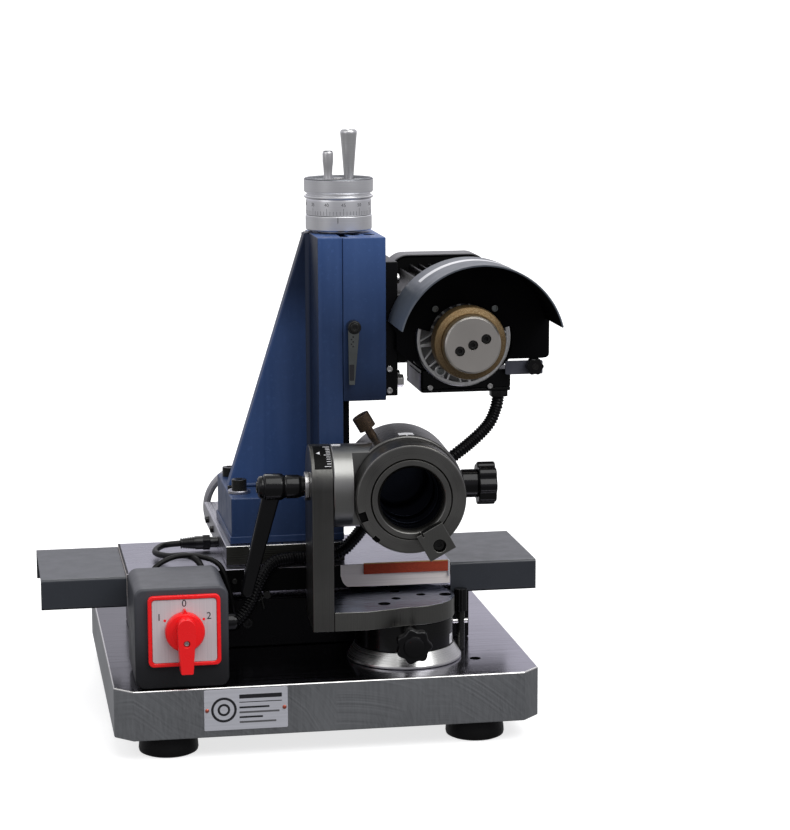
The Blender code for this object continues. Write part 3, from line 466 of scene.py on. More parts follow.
def mesh_object(name, points, faces):
    mesh = bpy.data.meshes.new(name)
    mesh.from_pydata([here["layout"] @ Vector(p) for p in points], [], faces)
    work = bmesh.new()
    work.from_mesh(mesh)
    bmesh.ops.recalc_face_normals(work, faces=work.faces)
    work.to_mesh(mesh)
    work.free()
    obj = bpy.data.objects.new(name, mesh)
    bpy.context.scene.collection.objects.link(obj)
    return obj


def box(name, xs, ys, zs):
    points = [(x, y, z) for x in xs for y in ys for z in zs]
    faces = [(0, 1, 3, 2), (4, 6, 7, 5), (0, 4, 5, 1), (2, 3, 7, 6), (0, 2, 6, 4), (1, 5, 7, 3)]
    return mesh_object(name, points, faces)


def prism(name, outline, normal, along):
    """A flat outline pushed along an axis. The outline is in (x, y), (x, z) or (y, z)."""
    order = {"z": lambda a, b, h: (a, b, h), "y": lambda a, b, h: (a, h, b), "x": lambda a, b, h: (h, a, b)}
    count = len(outline)
    points = [order[normal](a, b, h) for h in along for a, b in outline]
    faces = [tuple(range(count)), tuple(range(2 * count - 1, count - 1, -1))]
    for i in range(count):
        j = (i + 1) % count
        faces.append((i, j, count + j, count + i))
    return mesh_object(name, points, faces)


def turned(name, axis, centre, profile, steps=96, start=0.0, phase=0.5):
    """A turned piece. The profile lists (radius, position along the axis)."""
    closes = profile[0][0] > 0 and profile[-1][0] > 0
    points = []
    rings = []
    for radius, along in profile:
        ring = []
        for i in range(steps if radius > 0 else 1):
            angle = start + 2 * math.pi * (i + phase) / steps
            a, b = radius * math.cos(angle), radius * math.sin(angle)
            offset = {"x": (along, a, b), "y": (a, along, b), "z": (a, b, along)}[axis]
            ring.append(len(points))
            points.append(tuple(c + o for c, o in zip(centre, offset)))
        rings.append(ring)
    pairs = list(zip(rings, rings[1:]))
    if closes:
        pairs.append((rings[-1], rings[0]))
    faces = []
    for first, second in pairs:
        for i in range(steps):
            j = (i + 1) % steps
            corners = [first[i % len(first)], first[j % len(first)], second[j % len(second)], second[i % len(second)]]
            faces.append(tuple(dict.fromkeys(corners)))
    return mesh_object(name, points, faces)


def rod(name, axis, centre, radius, along, steps=48, phase=0.5):
    profile = [(0, along[0]), (radius, along[0]), (radius, along[1]), (0, along[1])]
    return turned(name, axis, centre, profile, steps, phase=phase)


def tube(name, axis, centre, radii, along, steps=96):
    inner, outer = radii
    profile = [(inner, along[0]), (outer, along[0]), (outer, along[1]), (inner, along[1])]
    return turned(name, axis, centre, profile, steps)


def rounded(xs, ys, radius, steps=8):
    outline = []
    corners = ((xs[1], ys[1], 0), (xs[0], ys[1], 90), (xs[0], ys[0], 180), (xs[1], ys[0], 270))
    for x, y, start in corners:
        cx = x - radius if start in (0, 270) else x + radius
        cy = y - radius if start in (0, 90) else y + radius
        outline += arc(cx, cy, radius, start, start + 90, steps)
    return outline


def arc(cx, cy, radius, start, end, steps):
    angles = [math.radians(start + (end - start) * i / steps) for i in range(steps + 1)]
    return [(cx + radius * math.cos(a), cy + radius * math.sin(a)) for a in angles]


def lobed(cx, cy, radius, depth, lobes, per_lobe=12, power=1.0):
    outline = []
    for i in range(lobes * per_lobe):
        angle = 2 * math.pi * i / (lobes * per_lobe)
        dip = (0.5 - 0.5 * math.cos(lobes * angle)) ** power
        outline.append((cx + (radius - depth * dip) * math.cos(angle), cy + (radius - depth * dip) * math.sin(angle)))
    return outline


def smooth_route(points, step):
    """Points every few mm along a smooth curve through the given ones."""
    route = []
    ends = [points[0]] + list(points) + [points[-1]]
    for a, b, c, d in zip(ends, ends[1:], ends[2:], ends[3:]):
        a, b, c, d = Vector(a), Vector(b), Vector(c), Vector(d)
        count = max(1, round((c - b).length / step))
        for i in range(count):
            t = i / count
            bend = (2 * a - 5 * b + 4 * c - d) * t * t + (3 * b - a - 3 * c + d) * t * t * t
            route.append(0.5 * (2 * b + (c - a) * t + bend))
    route.append(Vector(points[-1]))
    return route


def sweep(name, route, radii, sides=24):
    """A tube along a route, with a radius for each point."""
    points = []
    side = None
    for i, point in enumerate(route):
        ahead = (route[min(i + 1, len(route) - 1)] - route[max(i - 1, 0)]).normalized()
        if side is None:
            side = ahead.orthogonal().normalized()
        side = (side - ahead * side.dot(ahead)).normalized()
        up = ahead.cross(side)
        for k in range(sides):
            angle = 2 * math.pi * k / sides
            points.append(point + (side * math.cos(angle) + up * math.sin(angle)) * radii[i])
    faces = [tuple(range(sides)), tuple(range(len(points) - sides, len(points)))]
    for i in range(len(route) - 1):
        for k in range(sides):
            n = (k + 1) % sides
            faces.append((i * sides + k, i * sides + n, (i + 1) * sides + n, (i + 1) * sides + k))
    return mesh_object(name, points, faces)


def fuse(obj, tools, operation):
    for tool in tools:
        modifier = obj.modifiers.new("fuse", "BOOLEAN")
        modifier.operation = operation
        modifier.solver = "EXACT"
        modifier.object = tool
    bake(obj)
    for tool in tools:
        bpy.data.objects.remove(tool, do_unlink=True)
    return obj


def cut(obj, *tools):
    return fuse(obj, tools, "DIFFERENCE")


def join(obj, *tools):
    return fuse(obj, tools, "UNION")


def bake(obj):
    """Applies the modifiers."""
    bpy.context.view_layer.update()
    graph = bpy.context.evaluated_depsgraph_get()
    mesh = bpy.data.meshes.new_from_object(obj.evaluated_get(graph))
    mesh.name = obj.name
    old = obj.data
    obj.modifiers.clear()
    obj.data = mesh
    bpy.data.meshes.remove(old)
    return obj


def round_edges(obj, width, segments=3, angle=32):
    work = bmesh.new()
    work.from_mesh(obj.data)
    bmesh.ops.remove_doubles(work, verts=work.verts, dist=2e-6)
    bmesh.ops.dissolve_limit(work, angle_limit=math.radians(0.5), verts=work.verts, edges=work.edges)
    work.to_mesh(obj.data)
    work.free()
    modifier = obj.modifiers.new("edges", "BEVEL")
    modifier.width = width * 0.001
    modifier.segments = segments
    modifier.limit_method = "ANGLE"
    modifier.angle_limit = math.radians(angle)
    return bake(obj)


def gather(name, objects):
    """One object from several."""
    work = bmesh.new()
    for obj in objects:
        work.from_mesh(obj.data)
    mesh = bpy.data.meshes.new(name)
    work.to_mesh(mesh)
    work.free()
    for obj in objects:
        bpy.data.objects.remove(obj, do_unlink=True)
    made = bpy.data.objects.new(name, mesh)
    bpy.context.scene.collection.objects.link(made)
    return made


def piece(obj, look, *replaced, edge=0.0, segments=3, body=None):
    """Finishes a piece: rounds its edges, shades it, gives it a material and a body."""
    if edge:
        round_edges(obj, edge, segments)
    mesh = obj.data
    mesh.polygons.foreach_set("use_smooth", [True] * len(mesh.polygons))
    mesh.set_sharp_from_angle(angle=math.radians(38))
    mesh.materials.clear()
    mesh.materials.append(LOOKS[look])
    weighted = obj.modifiers.new("shading", "WEIGHTED_NORMAL")
    weighted.keep_sharp = True
    bake(obj)
    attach(obj, body or here["body"])
    if replaced:
        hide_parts(*replaced)
    return obj


def face_looks(obj, looks, choose):
    """Gives faces other materials: choose(normal, centre) names an entry of looks, or None."""
    slots = {}
    for look in looks:
        obj.data.materials.append(LOOKS[look])
        slots[look] = len(obj.data.materials) - 1
    back = LAYOUT.inverted()
    for polygon in obj.data.polygons:
        look = choose(polygon.normal, back @ polygon.center)
        if look:
            polygon.material_index = slots[look]
    return obj


def socket_screw(name, axis, centre, radius, along, look="black_oxide", socket=0.48, depth=0.55):
    """A cap screw with its hexagon socket. along runs from the seat to the top of the head."""
    seat, top = along
    way = 1 if top > seat else -1
    head = turned(name, axis, centre, [(0, seat), (radius, seat), (radius, top - way * 0.4), (radius - 0.4, top), (0, top)], 40)
    deep = top - way * abs(top - seat) * depth
    hexagon = rod(name + "_socket", axis, centre, radius * socket * 1.1, sorted((deep, top + way)), 6, phase=0)
    return piece(cut(head, hexagon), look, edge=0.15, segments=2)


def lettering(name, text, size, depth):
    """A figure as a mesh, lying in its own XY plane, in mm about its middle."""
    curve = bpy.data.curves.new(name, "FONT")
    curve.body = text
    curve.size = size
    curve.extrude = depth / 2
    curve.align_x = "CENTER"
    curve.align_y = "CENTER"
    curve.resolution_u = 3
    obj = bpy.data.objects.new(name, curve)
    bpy.context.scene.collection.objects.link(obj)
    bpy.context.view_layer.update()
    graph = bpy.context.evaluated_depsgraph_get()
    mesh = bpy.data.meshes.new_from_object(obj.evaluated_get(graph))
    bpy.data.objects.remove(obj, do_unlink=True)
    made = bpy.data.objects.new(name, mesh)
    bpy.context.scene.collection.objects.link(made)
    return made

# ---------------------------------------------------------------- base


def build_base():
    on("base")
    low, high = span("base_plate")
    x, y, c = high.x, high.y, 16.0
    outline = [(x - c, y), (c - x, y), (-x, y - c), (-x, c - y), (c - x, -y), (x - c, -y), (x, c - y), (x, y - c)]
    plate = prism("base_body", outline, "z", (low.z, 0))
    round_edges(plate, 1.2)
    holes = ((142, -146), (-150, 120))
    cut(plate, *[rod("hole", "z", (*hole, 0), 5.2, (-18, 3), 40) for hole in holes])
    piece(plate, "base_side", "base_plate")

    def choose(normal, centre):
        # Hole walls: painted shade.
        if any(math.hypot(centre.x - a, centre.y - b) < 6 for a, b in holes):
            return "painted_shade_black"
        if normal.z > 0.995 and centre.z > -0.5:
            return "base_top"
        # Sloping chamfer faces along the top edge get the painted highlight.
        if 0.15 < normal.z and centre.z > -2:
            return "painted_highlight_edge"
        return None

    face_looks(plate, ("base_top", "painted_highlight_edge", "painted_shade_black"), choose)
    for tag in ("bl", "br", "fl", "fr"):
        node = "foot_" + tag
        low, high = span(node)
        centre = ((low.x + high.x) / 2, (low.y + high.y) / 2, 0)
        radius = (high.x - low.x) / 2
        profile = [(0, low.z), (radius - 3.5, low.z), (radius - 0.6, low.z + 1.4), (radius, low.z + 4), (radius - 0.4, low.z + 9)]
        profile += [(radius - 2.6, high.z - 1.6), (radius - 4, high.z), (0, high.z)]
        piece(turned("foot_pad_" + tag, "z", centre, profile), "rubber", node, edge=0.5)
        piece(rod("foot_washer_" + tag, "z", centre, radius - 6, (high.z - 0.05, high.z + 0.28), 48), "black_oxide")


def build_name_plate():
    on("base")
    low, high = span("name_plate")
    front = low.y
    plate = prism("name_plate_body", rounded((low.x, high.x), (low.z, high.z), 1.2, 5), "y", (front, high.y))
    piece(plate, "silver_plate", "name_plate", edge=0.2, segments=2)
    width, height = high.x - low.x, high.z - low.z

    def patch(name, x0, x1, z0, z1, look="ink", radius=0.5):
        xs = (low.x + width * x0, low.x + width * x1)
        zs = (low.z + height * z0, low.z + height * z1)
        piece(prism(name, rounded(xs, zs, radius, 3), "y", (front - 0.06, front + 0.1)), look)

    patch("plate_heading", 0.42, 0.93, 0.76, 0.86)
    patch("plate_rule", 0.42, 0.93, 0.66, 0.68, "ink", 0.1)
    for i, (end, look) in enumerate(((0.78, "ink"), (0.9, "mark_grey"), (0.7, "ink"), (0.86, "mark_grey"))):
        patch(f"plate_row_{i}", 0.42, end, 0.52 - 0.12 * i, 0.565 - 0.12 * i, look, 0.3)
    middle = (low.x + width * 0.235, front, low.z + height * 0.5)
    piece(tube("plate_ring", "y", middle, (9.2, 11.4), (-0.06, 0.1), 64), "ink")
    piece(tube("plate_ring_inner", "y", middle, (3.6, 5.6), (-0.06, 0.1), 48), "ink")
    for x in (low.x + 2.6, high.x - 3.0):
        profile = [(0, -1.0), (0.9, -0.9), (1.7, -0.4), (1.9, 0.1), (0, 0.1)]
        piece(turned("plate_rivet", "y", (x, front, middle[2]), profile, 24), "copper")


def build_switch():
    on("base")
    low, high = span("switch_box")
    outline = rounded((low.x, high.x), (low.z, high.z), 8.5, 8)
    housing = prism("switch_housing", outline, "y", (low.y, high.y))
    piece(housing, "box_paint", "switch_box", edge=2.6, segments=4)
    middle_y = (low.y + high.y) / 2
    for z in (18, 74):
        socket_screw("box_side_screw", "x", (0, middle_y + 22, z), 3.0, (high.x - 0.1, high.x + 1.4), socket=0.45)
    low, high = span("switch_frame")
    cx, cz = (low.x + high.x) / 2, (low.z + high.z) / 2
    half = (high.x - low.x) / 2
    front = low.y
    ring = prism("frame_body", rounded((cx - half, cx + half), (cz - half, cz + half), 5, 8), "y", (front, high.y))
    cut(ring, prism("inner", rounded((cx - 28.6, cx + 28.6), (cz - 28.6, cz + 28.6), 3, 6), "y", (front - 1, front + 3)))
    piece(ring, "red_plastic", "switch_frame", edge=0.9)
    face = front + 0.9
    dial = prism("switch_face", rounded((cx - 28.3, cx + 28.3), (cz - 28.3, cz + 28.3), 2.8, 6), "y", (face, front + 2.9))
    piece(dial, "dial_plate", "switch_dial", edge=0.2, segments=2)
    for text, angle, reach in (("0", 0, 24.6), ("1", -60, 25.6), ("2", 60, 25.0)):
        figure = lettering("switch_figure_" + text, text, 9.0, 0.2)
        x = cx + reach * math.sin(math.radians(angle))
        z = cz + reach * math.cos(math.radians(angle))
        figure.data.transform(LAYOUT @ Matrix.Translation((x, face, z)) @ Matrix.Rotation(math.radians(90), 4, "X"))
        piece(figure, "ink")
    for angle in (-60, 60):
        x = cx + 19.8 * math.sin(math.radians(angle))
        z = cz + 19.8 * math.cos(math.radians(angle))
        piece(rod("switch_dot", "y", (x, face, z), 1.2, (-0.12, 0.2), 20), "red_plastic")
    on("switch_knob")
    low, high = span("switch_knob")
    disc = [(0, front + 0.6), (17.4, front + 0.6), (17.4, front - 5.5), (16.2, front - 7.2), (0, front - 8.2)]
    knob = turned("knob_disc", "y", (cx, 0, cz), disc, 96)
    tip = [(cx - 3.4, cz + 15), (cx - 0.8, cz + 20.2), (cx + 0.8, cz + 20.2), (cx + 3.4, cz + 15)]
    join(knob, prism("tip", tip, "y", (front - 6.2, front + 0.4)))
    piece(knob, "red_plastic", "switch_knob", edge=0.7)
    top, bottom = cz + 15.0, low.z
    blade = [(cx - 5.4, bottom + 0.8), (cx - 4.6, bottom), (cx + 4.6, bottom), (cx + 5.4, bottom + 0.8)]
    blade += [(cx + 8.0, cz + 2)] + arc(cx, cz + 7.4, 7.8, 0, 180, 24) + [(cx - 8.0, cz + 2)]
    handle = prism("knob_handle", blade, "y", (low.y, front - 5))
    cut(handle, rod("hole", "y", (cx, 0, cz - 6.6), 2.9, (low.y - 2, low.y + 5), 32))
    piece(handle, "red_plastic", edge=1.5, segments=4)
    socket_screw("knob_screw", "y", (cx, 0, cz - 6.6), 2.5, (low.y + 5, low.y + 2.2), "bright_steel", 0.5)
    return top


# ---------------------------------------------------------------- bed, table and covers


def build_bed():
    on("base")
    low, high = span("x_bed")
    body = box("bed_body", (low.x, high.x), (low.y, high.y), (low.z, 46))
    cut(body, *[box("relief", (low.x - 2, high.x + 2), ys, (36, 48)) for ys in ((-34, -14), (20.5, 70))])
    piece(body, "black_paint", "x_bed", edge=1.2)
    top = high.z
    ways = {"front": [(-62, 45.8), (-40, 45.8), (-34, top), (-68, top)], "rear": [(-8, 45.8), (14, 45.8), (20, top), (-14, top)]}
    for tag, outline in ways.items():
        piece(prism("bed_way_" + tag, outline, "x", (low.x, high.x)), "plate_steel", edge=0.4)
    for x in (-120, -60, 60, 120):
        socket_screw("bed_screw", "y", (x, 0, 24), 5, (low.y + 0.2, low.y - 4.5))


def build_table():
    on("table")
    low, high = span("x_table")
    front, top, bottom = low.y, high.z, low.z
    slab = box("table_slab", (low.x, high.x), (front, 25), (bottom, top))
    piece(slab, "table_top", "x_table", edge=0.7)
    face_looks(slab, ("table_front",), lambda normal, centre: "table_front" if abs(normal.y) > 0.9 or abs(normal.x) > 0.9 else None)
    piece(box("table_end_seal", (low.x + 0.1, low.x + 1.9), (front + 1, 24), (top - 0.3, top + 0.12)), "matte_black_and_painted_shade")
    piece(box("table_rear_arm", (-70, 20), (24.9, high.y), (bottom, top - 4)), "plate_steel", edge=0.8)
    corner = [(23.5, top - 0.4), (23.5, 73)] + arc(36.5, 73, 12.4, 188, 262, 14) + [(48, bottom + 0.3)]
    # A thin black sheet over the left of the table's front face, held by three screws: painted shade for that part of
    # the face.
    shade_sheet = prism("table_front_shade_sheet", [(low.x + 0.4, bottom + 0.3), (low.x + 0.4, top - 0.4)] + corner, "y", (front - 1.0, front - 0.05))
    piece(shade_sheet, "matte_black_and_painted_shade", edge=0.2, segments=2)
    for x in (-150, -75, 10):
        socket_screw("shade_sheet_screw", "y", (x, 0, 72.5), 2.6, (front - 0.9, front - 2.4))
    for i, (x, z, turn) in enumerate(((-55, 76, -12), (-46, 60, 58))):
        lever = rod(f"gib_lever_{i}", "z", (0, 0, 0), 1.6, (-30 if i == 0 else -22, 0), 20)
        lever.data.transform(LAYOUT @ Matrix.Translation((x, front - 6, z)) @ Matrix.Rotation(math.radians(turn), 4, "Y") @ LAYOUT.inverted())
        piece(lever, "black_oxide", edge=0.4)
        piece(rod(f"gib_stud_{i}", "y", (x, 0, z), 3.6, (front - 8.5, front - 0.9), 32), "black_oxide", edge=0.5)
    low, high = span("wiper_strip")
    piece(box("wiper_felt", (low.x, high.x), (low.y, high.y), (low.z, high.z - 0.9)), "red_felt", "wiper_strip", edge=0.25)
    piece(box("wiper_top", (low.x, high.x), (low.y + 0.1, high.y), (high.z - 0.85, high.z)), "amber_strip", edge=0.2, segments=2)
    piece(box("wiper_end", (high.x + 0.1, high.x + 1.4), (low.y, high.y), (low.z - 5, high.z)), "silver_plate", edge=0.2, segments=2)


def build_cover(side):
    """Bent sheet over one end of the bed: three flats and two folds, with a small hem at its front rim."""
    on("table")
    low, high = span("cover_" + side)
    sheet, fold = 1.5, 2.6
    outer = [(low.y, low.z), (low.y, high.z - fold)] + arc(low.y + fold, high.z - fold, fold, 180, 90, 8)
    outer += arc(high.y - fold, high.z - fold, fold, 90, 0, 8) + [(high.y, low.z)]
    inner_fold = fold - sheet
    inner = [(high.y - sheet, low.z), (high.y - sheet, high.z - fold)] + arc(high.y - fold, high.z - fold, inner_fold, 0, 90, 6)
    inner += arc(low.y + fold, high.z - fold, inner_fold, 90, 180, 6) + [(low.y + sheet, low.z)]
    piece(prism("cover_sheet_" + side, outer + inner, "x", (low.x, high.x)), "sheet_paint", "cover_" + side, edge=0.3, segments=2)
    hem = [(low.y - 0.0, low.z), (low.y + 2.6, low.z), (low.y + 2.6, low.z + 5), (low.y + 1.6, low.z + 5), (low.y + 1.6, low.z + 1)]
    hem += [(low.y, low.z + 1)]
    piece(prism("cover_hem_" + side, hem, "x", (low.x + 0.2, high.x - 0.2)), "sheet_paint")


# ---------------------------------------------------------------- cross slide


def build_cross_slide():
    on("carriage")
    low, high = span("y_slide_plate")
    plate = box("slide_plate_body", (low.x, high.x), (low.y, high.y), (low.z, high.z))
    piece(plate, "plate_steel", "y_slide_plate", edge=0.8)
    # The front chamfer gets the painted highlight.
    face_looks(plate, ("plate_dark", "painted_highlight_edge"), lambda n, c: "plate_dark" if n.y < -0.9 else ("painted_highlight_edge" if n.y < -0.2 and n.z > 0.2 else None))
    for y in (30, 75):
        socket_screw("plate_gib_screw", "x", (0, y, 93), 3.4, (low.x + 0.1, low.x - 3), "black_oxide")
    low, high = span("y_screw_bearing")
    block = box("bearing_body", (low.x, high.x), (low.y, high.y), (low.z, high.z))
    cut(block, rod("bore", "y", (-36, 0, 91), 8.4, (100, 140)))
    piece(block, "black_oxide", "y_screw_bearing", edge=1.0)
    for x in (low.x + 7, high.x - 7):
        socket_screw("bearing_screw", "y", (x, 0, 91), 3.4, (high.y, high.y + 3.4))


def build_rear_handwheel():
    on("y_handwheel")
    low, high = span("y_handwheel")
    cx, cz = (low.x + high.x) / 2, (low.z + high.z) / 2
    rim = [(37.2, 135.4), (38.6, 134.2), (41.6, 134.2), (43.3, 136.2), (43.4, 146.6), (41.8, 148.8), (38.6, 148.8), (37.2, 147.4)]
    piece(turned("handwheel_rim", "y", (cx, 0, cz), rim, 128), "wheel_iron", "y_handwheel", edge=0.6)
    hub = [(0, 120), (7.9, 120), (7.9, 131), (17, 131), (17, 143.6), (12.8, 147.2), (12.8, 159.4), (12, 160), (0, 160)]
    piece(turned("handwheel_hub", "y", (cx, 0, cz), hub, 64), "wheel_iron", edge=0.6)
    for i in range(3):
        angle = math.radians(90 + 120 * i)
        along = Vector((math.cos(angle), math.sin(angle)))
        side = Vector((-along.y, along.x))
        corners = [along * 14 + side * 7.4, along * 26 + side * 5, along * 38.2 + side * 5.4]
        corners += [along * 38.2 - side * 5.4, along * 26 - side * 5, along * 14 - side * 7.4]
        spoke = prism(f"handwheel_spoke_{i}", [(cx + p.x, cz + p.y) for p in corners], "y", (137.5, 144.5))
        piece(spoke, "wheel_iron", edge=1.6, segments=4)
    piece(rod("handwheel_nut", "y", (cx, 0, cz), 6.4, (159.8, 165), 6), "bright_steel", edge=0.5)
    on("y_handwheel_grip")
    low, high = span("y_handwheel_grip")
    centre = ((low.x + high.x) / 2, 0, (low.z + high.z) / 2)
    profile = [(0, low.y), (5.4, low.y), (6.3, 153), (7.4, 161), (8.0, 172), (7.7, 184), (6.2, 190), (3.6, 192.6), (0, high.y)]
    piece(turned("handwheel_grip_body", "y", centre, profile, 48), "black_plastic", "y_handwheel_grip")


# ---------------------------------------------------------------- column and vertical slide


def build_column():
    on("carriage")
    low, high = span("column")
    front, back, right, top = -80.0, 3.0, 30.8, 145.0
    foot = box("column_foot", (-74.5, right), (front, 45), (low.z, top))
    piece(foot, "blue_paint", "column", edge=1.5)
    flange = box("column_flange", (low.x, right - 0.1), (low.y, high.y), (low.z, low.z + 6.7))
    piece(flange, "blue_paint", edge=0.9)
    post = box("column_post", (8.0, right), (front + 0.05, back), (top - 2, high.z))
    cut(post, rod("hole", "z", (19, -60, 0), 4.2, (high.z - 9, high.z + 5), 32))
    piece(post, "blue_paint", edge=0.9)
    # The post's left face takes the painted shade.
    face_looks(post, ("blue_painted_shade",), lambda n, c: "blue_painted_shade" if n.x < -0.8 else None)
    slope = [(3.6, high.z), (14, high.z), (14, 130), (-71.0, 130), (-71.0, 147)]
    piece(prism("column_rib", slope, "y", (-25, -9)), "blue_rib", edge=1.6, segments=4)
    fillets = []
    for way, y in ((-1, -25.0), (1, -9.0)):
        corner = [(8.3, y - way * 0.4), (8.3, y + way * 5.5)] + [(8.3 - 5.5 + 5.5 * math.cos(a), y + way * (5.5 - 5.5 * math.sin(a))) for a in (0.3, 0.6, 0.9, 1.2)]
        fillets.append(prism("fillet", corner + [(2.8, y - way * 0.4)], "z", (top, high.z - 1)))
    # The fillets in the corners take the painted shade.
    piece(gather("column_fillets", fillets), "blue_painted_shade")
    foot_fillet = [(-70, top - 0.3), (4, top - 0.3), (4, top + 4), (-66, top + 4)]
    piece(prism("column_foot_weld", foot_fillet, "y", (-28.5, -5.5)), "blue_paint", edge=2.2, segments=4)
    washer = [(5.4, top + 0.3), (10.6, top + 0.3), (10.6, top + 2.4), (10.0, top + 3.0), (5.4, top + 3.0)]
    piece(turned("column_washer", "z", (-64, -53, 0), washer, 64), "plate_steel", "column_bolt")
    socket_screw("column_cap_screw", "z", (-64, -53, 0), 7.0, (top + 3.1, top + 13))
    socket_screw("column_set_screw", "z", (-70.6, -36, 0), 2.6, (top - 0.5, top + 3.6))
    socket_screw("column_cap_screw_rear", "z", (-64, 30, 0), 7.0, (top - 0.1, top + 9))
    socket_screw("column_cap_screw_back", "z", (10, 30, 0), 7.0, (top - 0.1, top + 9))
    low, high = span("z_dovetail")
    way = [(low.x, -66), (high.x, -72), (high.x, -34), (low.x, -40)]
    piece(prism("dovetail_way", way, "z", (low.z, high.z)), "black_oxide", "z_dovetail", edge=0.4)
    low, high = span("z_bearing_ring")
    centre = (36.5, -22, 0)
    seat = [(5.6, low.z), (20, low.z), (20, low.z + 2), (29.8, low.z + 2), (31, low.z + 3), (31, high.z - 0.5), (30.5, high.z), (5.6, high.z)]
    piece(turned("bearing_ring_body", "z", centre, seat, 144), "satin_aluminium", "z_bearing_ring", edge=0.2, segments=2)
    piece(box("dial_pointer", (SIGHT[0] - 0.25, SIGHT[0] + 0.25), (SIGHT[1] - 0.1, SIGHT[1] + 0.6), (high.z - 6, high.z - 0.6)), "ink")


SIGHT = (31.1, -52.6)  # where the fixed index line stands beside the dial


def build_slide():
    on("z_slide")
    low, high = span("z_slide")
    slide = box("slide_block", (low.x, high.x), (low.y, high.y), (low.z, high.z))
    groove = [(28, -66.6), (low.x, -66.9), (38.1, -72.7), (38.1, -33.3), (low.x, -39.1), (28, -39.4)]
    tools = [prism("groove", groove, "z", (low.z - 5, high.z + 5))]
    tools.append(rod("bore", "z", (36.5, -22, 0), 5.3, (low.z - 5, high.z + 5)))
    tools += [rod("counterbore", "z", (x, y, 0), 5.4, (high.z - 9, high.z + 5)) for x, y in ((46.5, -50), (60.5, -50))]
    round_edges(slide, 0.9)
    cut(slide, *tools)
    piece(slide, "blue_slide", "z_slide")

    def choose(normal, centre):
        # Counterbore walls: painted shade.
        inside = centre.y < -44 and centre.z > high.z - 9.5 and normal.z < 0.5
        return "painted_shade_black" if inside and min(math.hypot(centre.x - x, centre.y + 50) for x in (46.5, 60.5)) < 5.6 else None

    face_looks(slide, ("painted_shade_black",), choose)
    for x in (46.5, 60.5):
        socket_screw("slide_top_screw", "z", (x, -50, 0), 4.6, (high.z - 8.8, high.z - 3.5), "black_oxide")
    on("z_lock_lever")
    low, high = span("z_lock_lever")
    cx, cz, seat = 40.2, 302.5, high.y
    hub = [(0, seat), (6.2, seat), (6.2, seat - 9.4), (5.4, seat - 10.4), (0, seat - 10.4)]
    piece(turned("lock_hub", "y", (cx, 0, cz), hub, 64), "black_oxide", "z_lock_lever", edge=0.3, segments=2)
    arm = arc(cx - 0.2, cz, 5.6, -12, 192, 20)
    arm += [(35.2, 249.6), (35.8, 248.9), (40.0, 248.9), (40.6, 249.6)]
    blade = prism("lock_arm", arm, "y", (seat - 7.2, seat - 3.2))
    piece(blade, "lever_steel", edge=0.6)
    socket_screw("lock_screw", "y", (cx, 0, cz), 4.3, (seat - 10.2, seat - 11.9))
    for i in range(5):
        piece(rod("lock_knurl", "y", (cx - 1.0 - (i % 2) * 1.6, 0, cz - 9 - 2.2 * i), 0.8, (seat - 7.5, seat - 7.1), 12), "ink")
    piece(prism("lock_label", rounded((35.6, 40.0), (253, 268), 0.5, 3), "y", (seat - 7.35, seat - 7.15)), "ink")


# ---------------------------------------------------------------- vertical hand feed


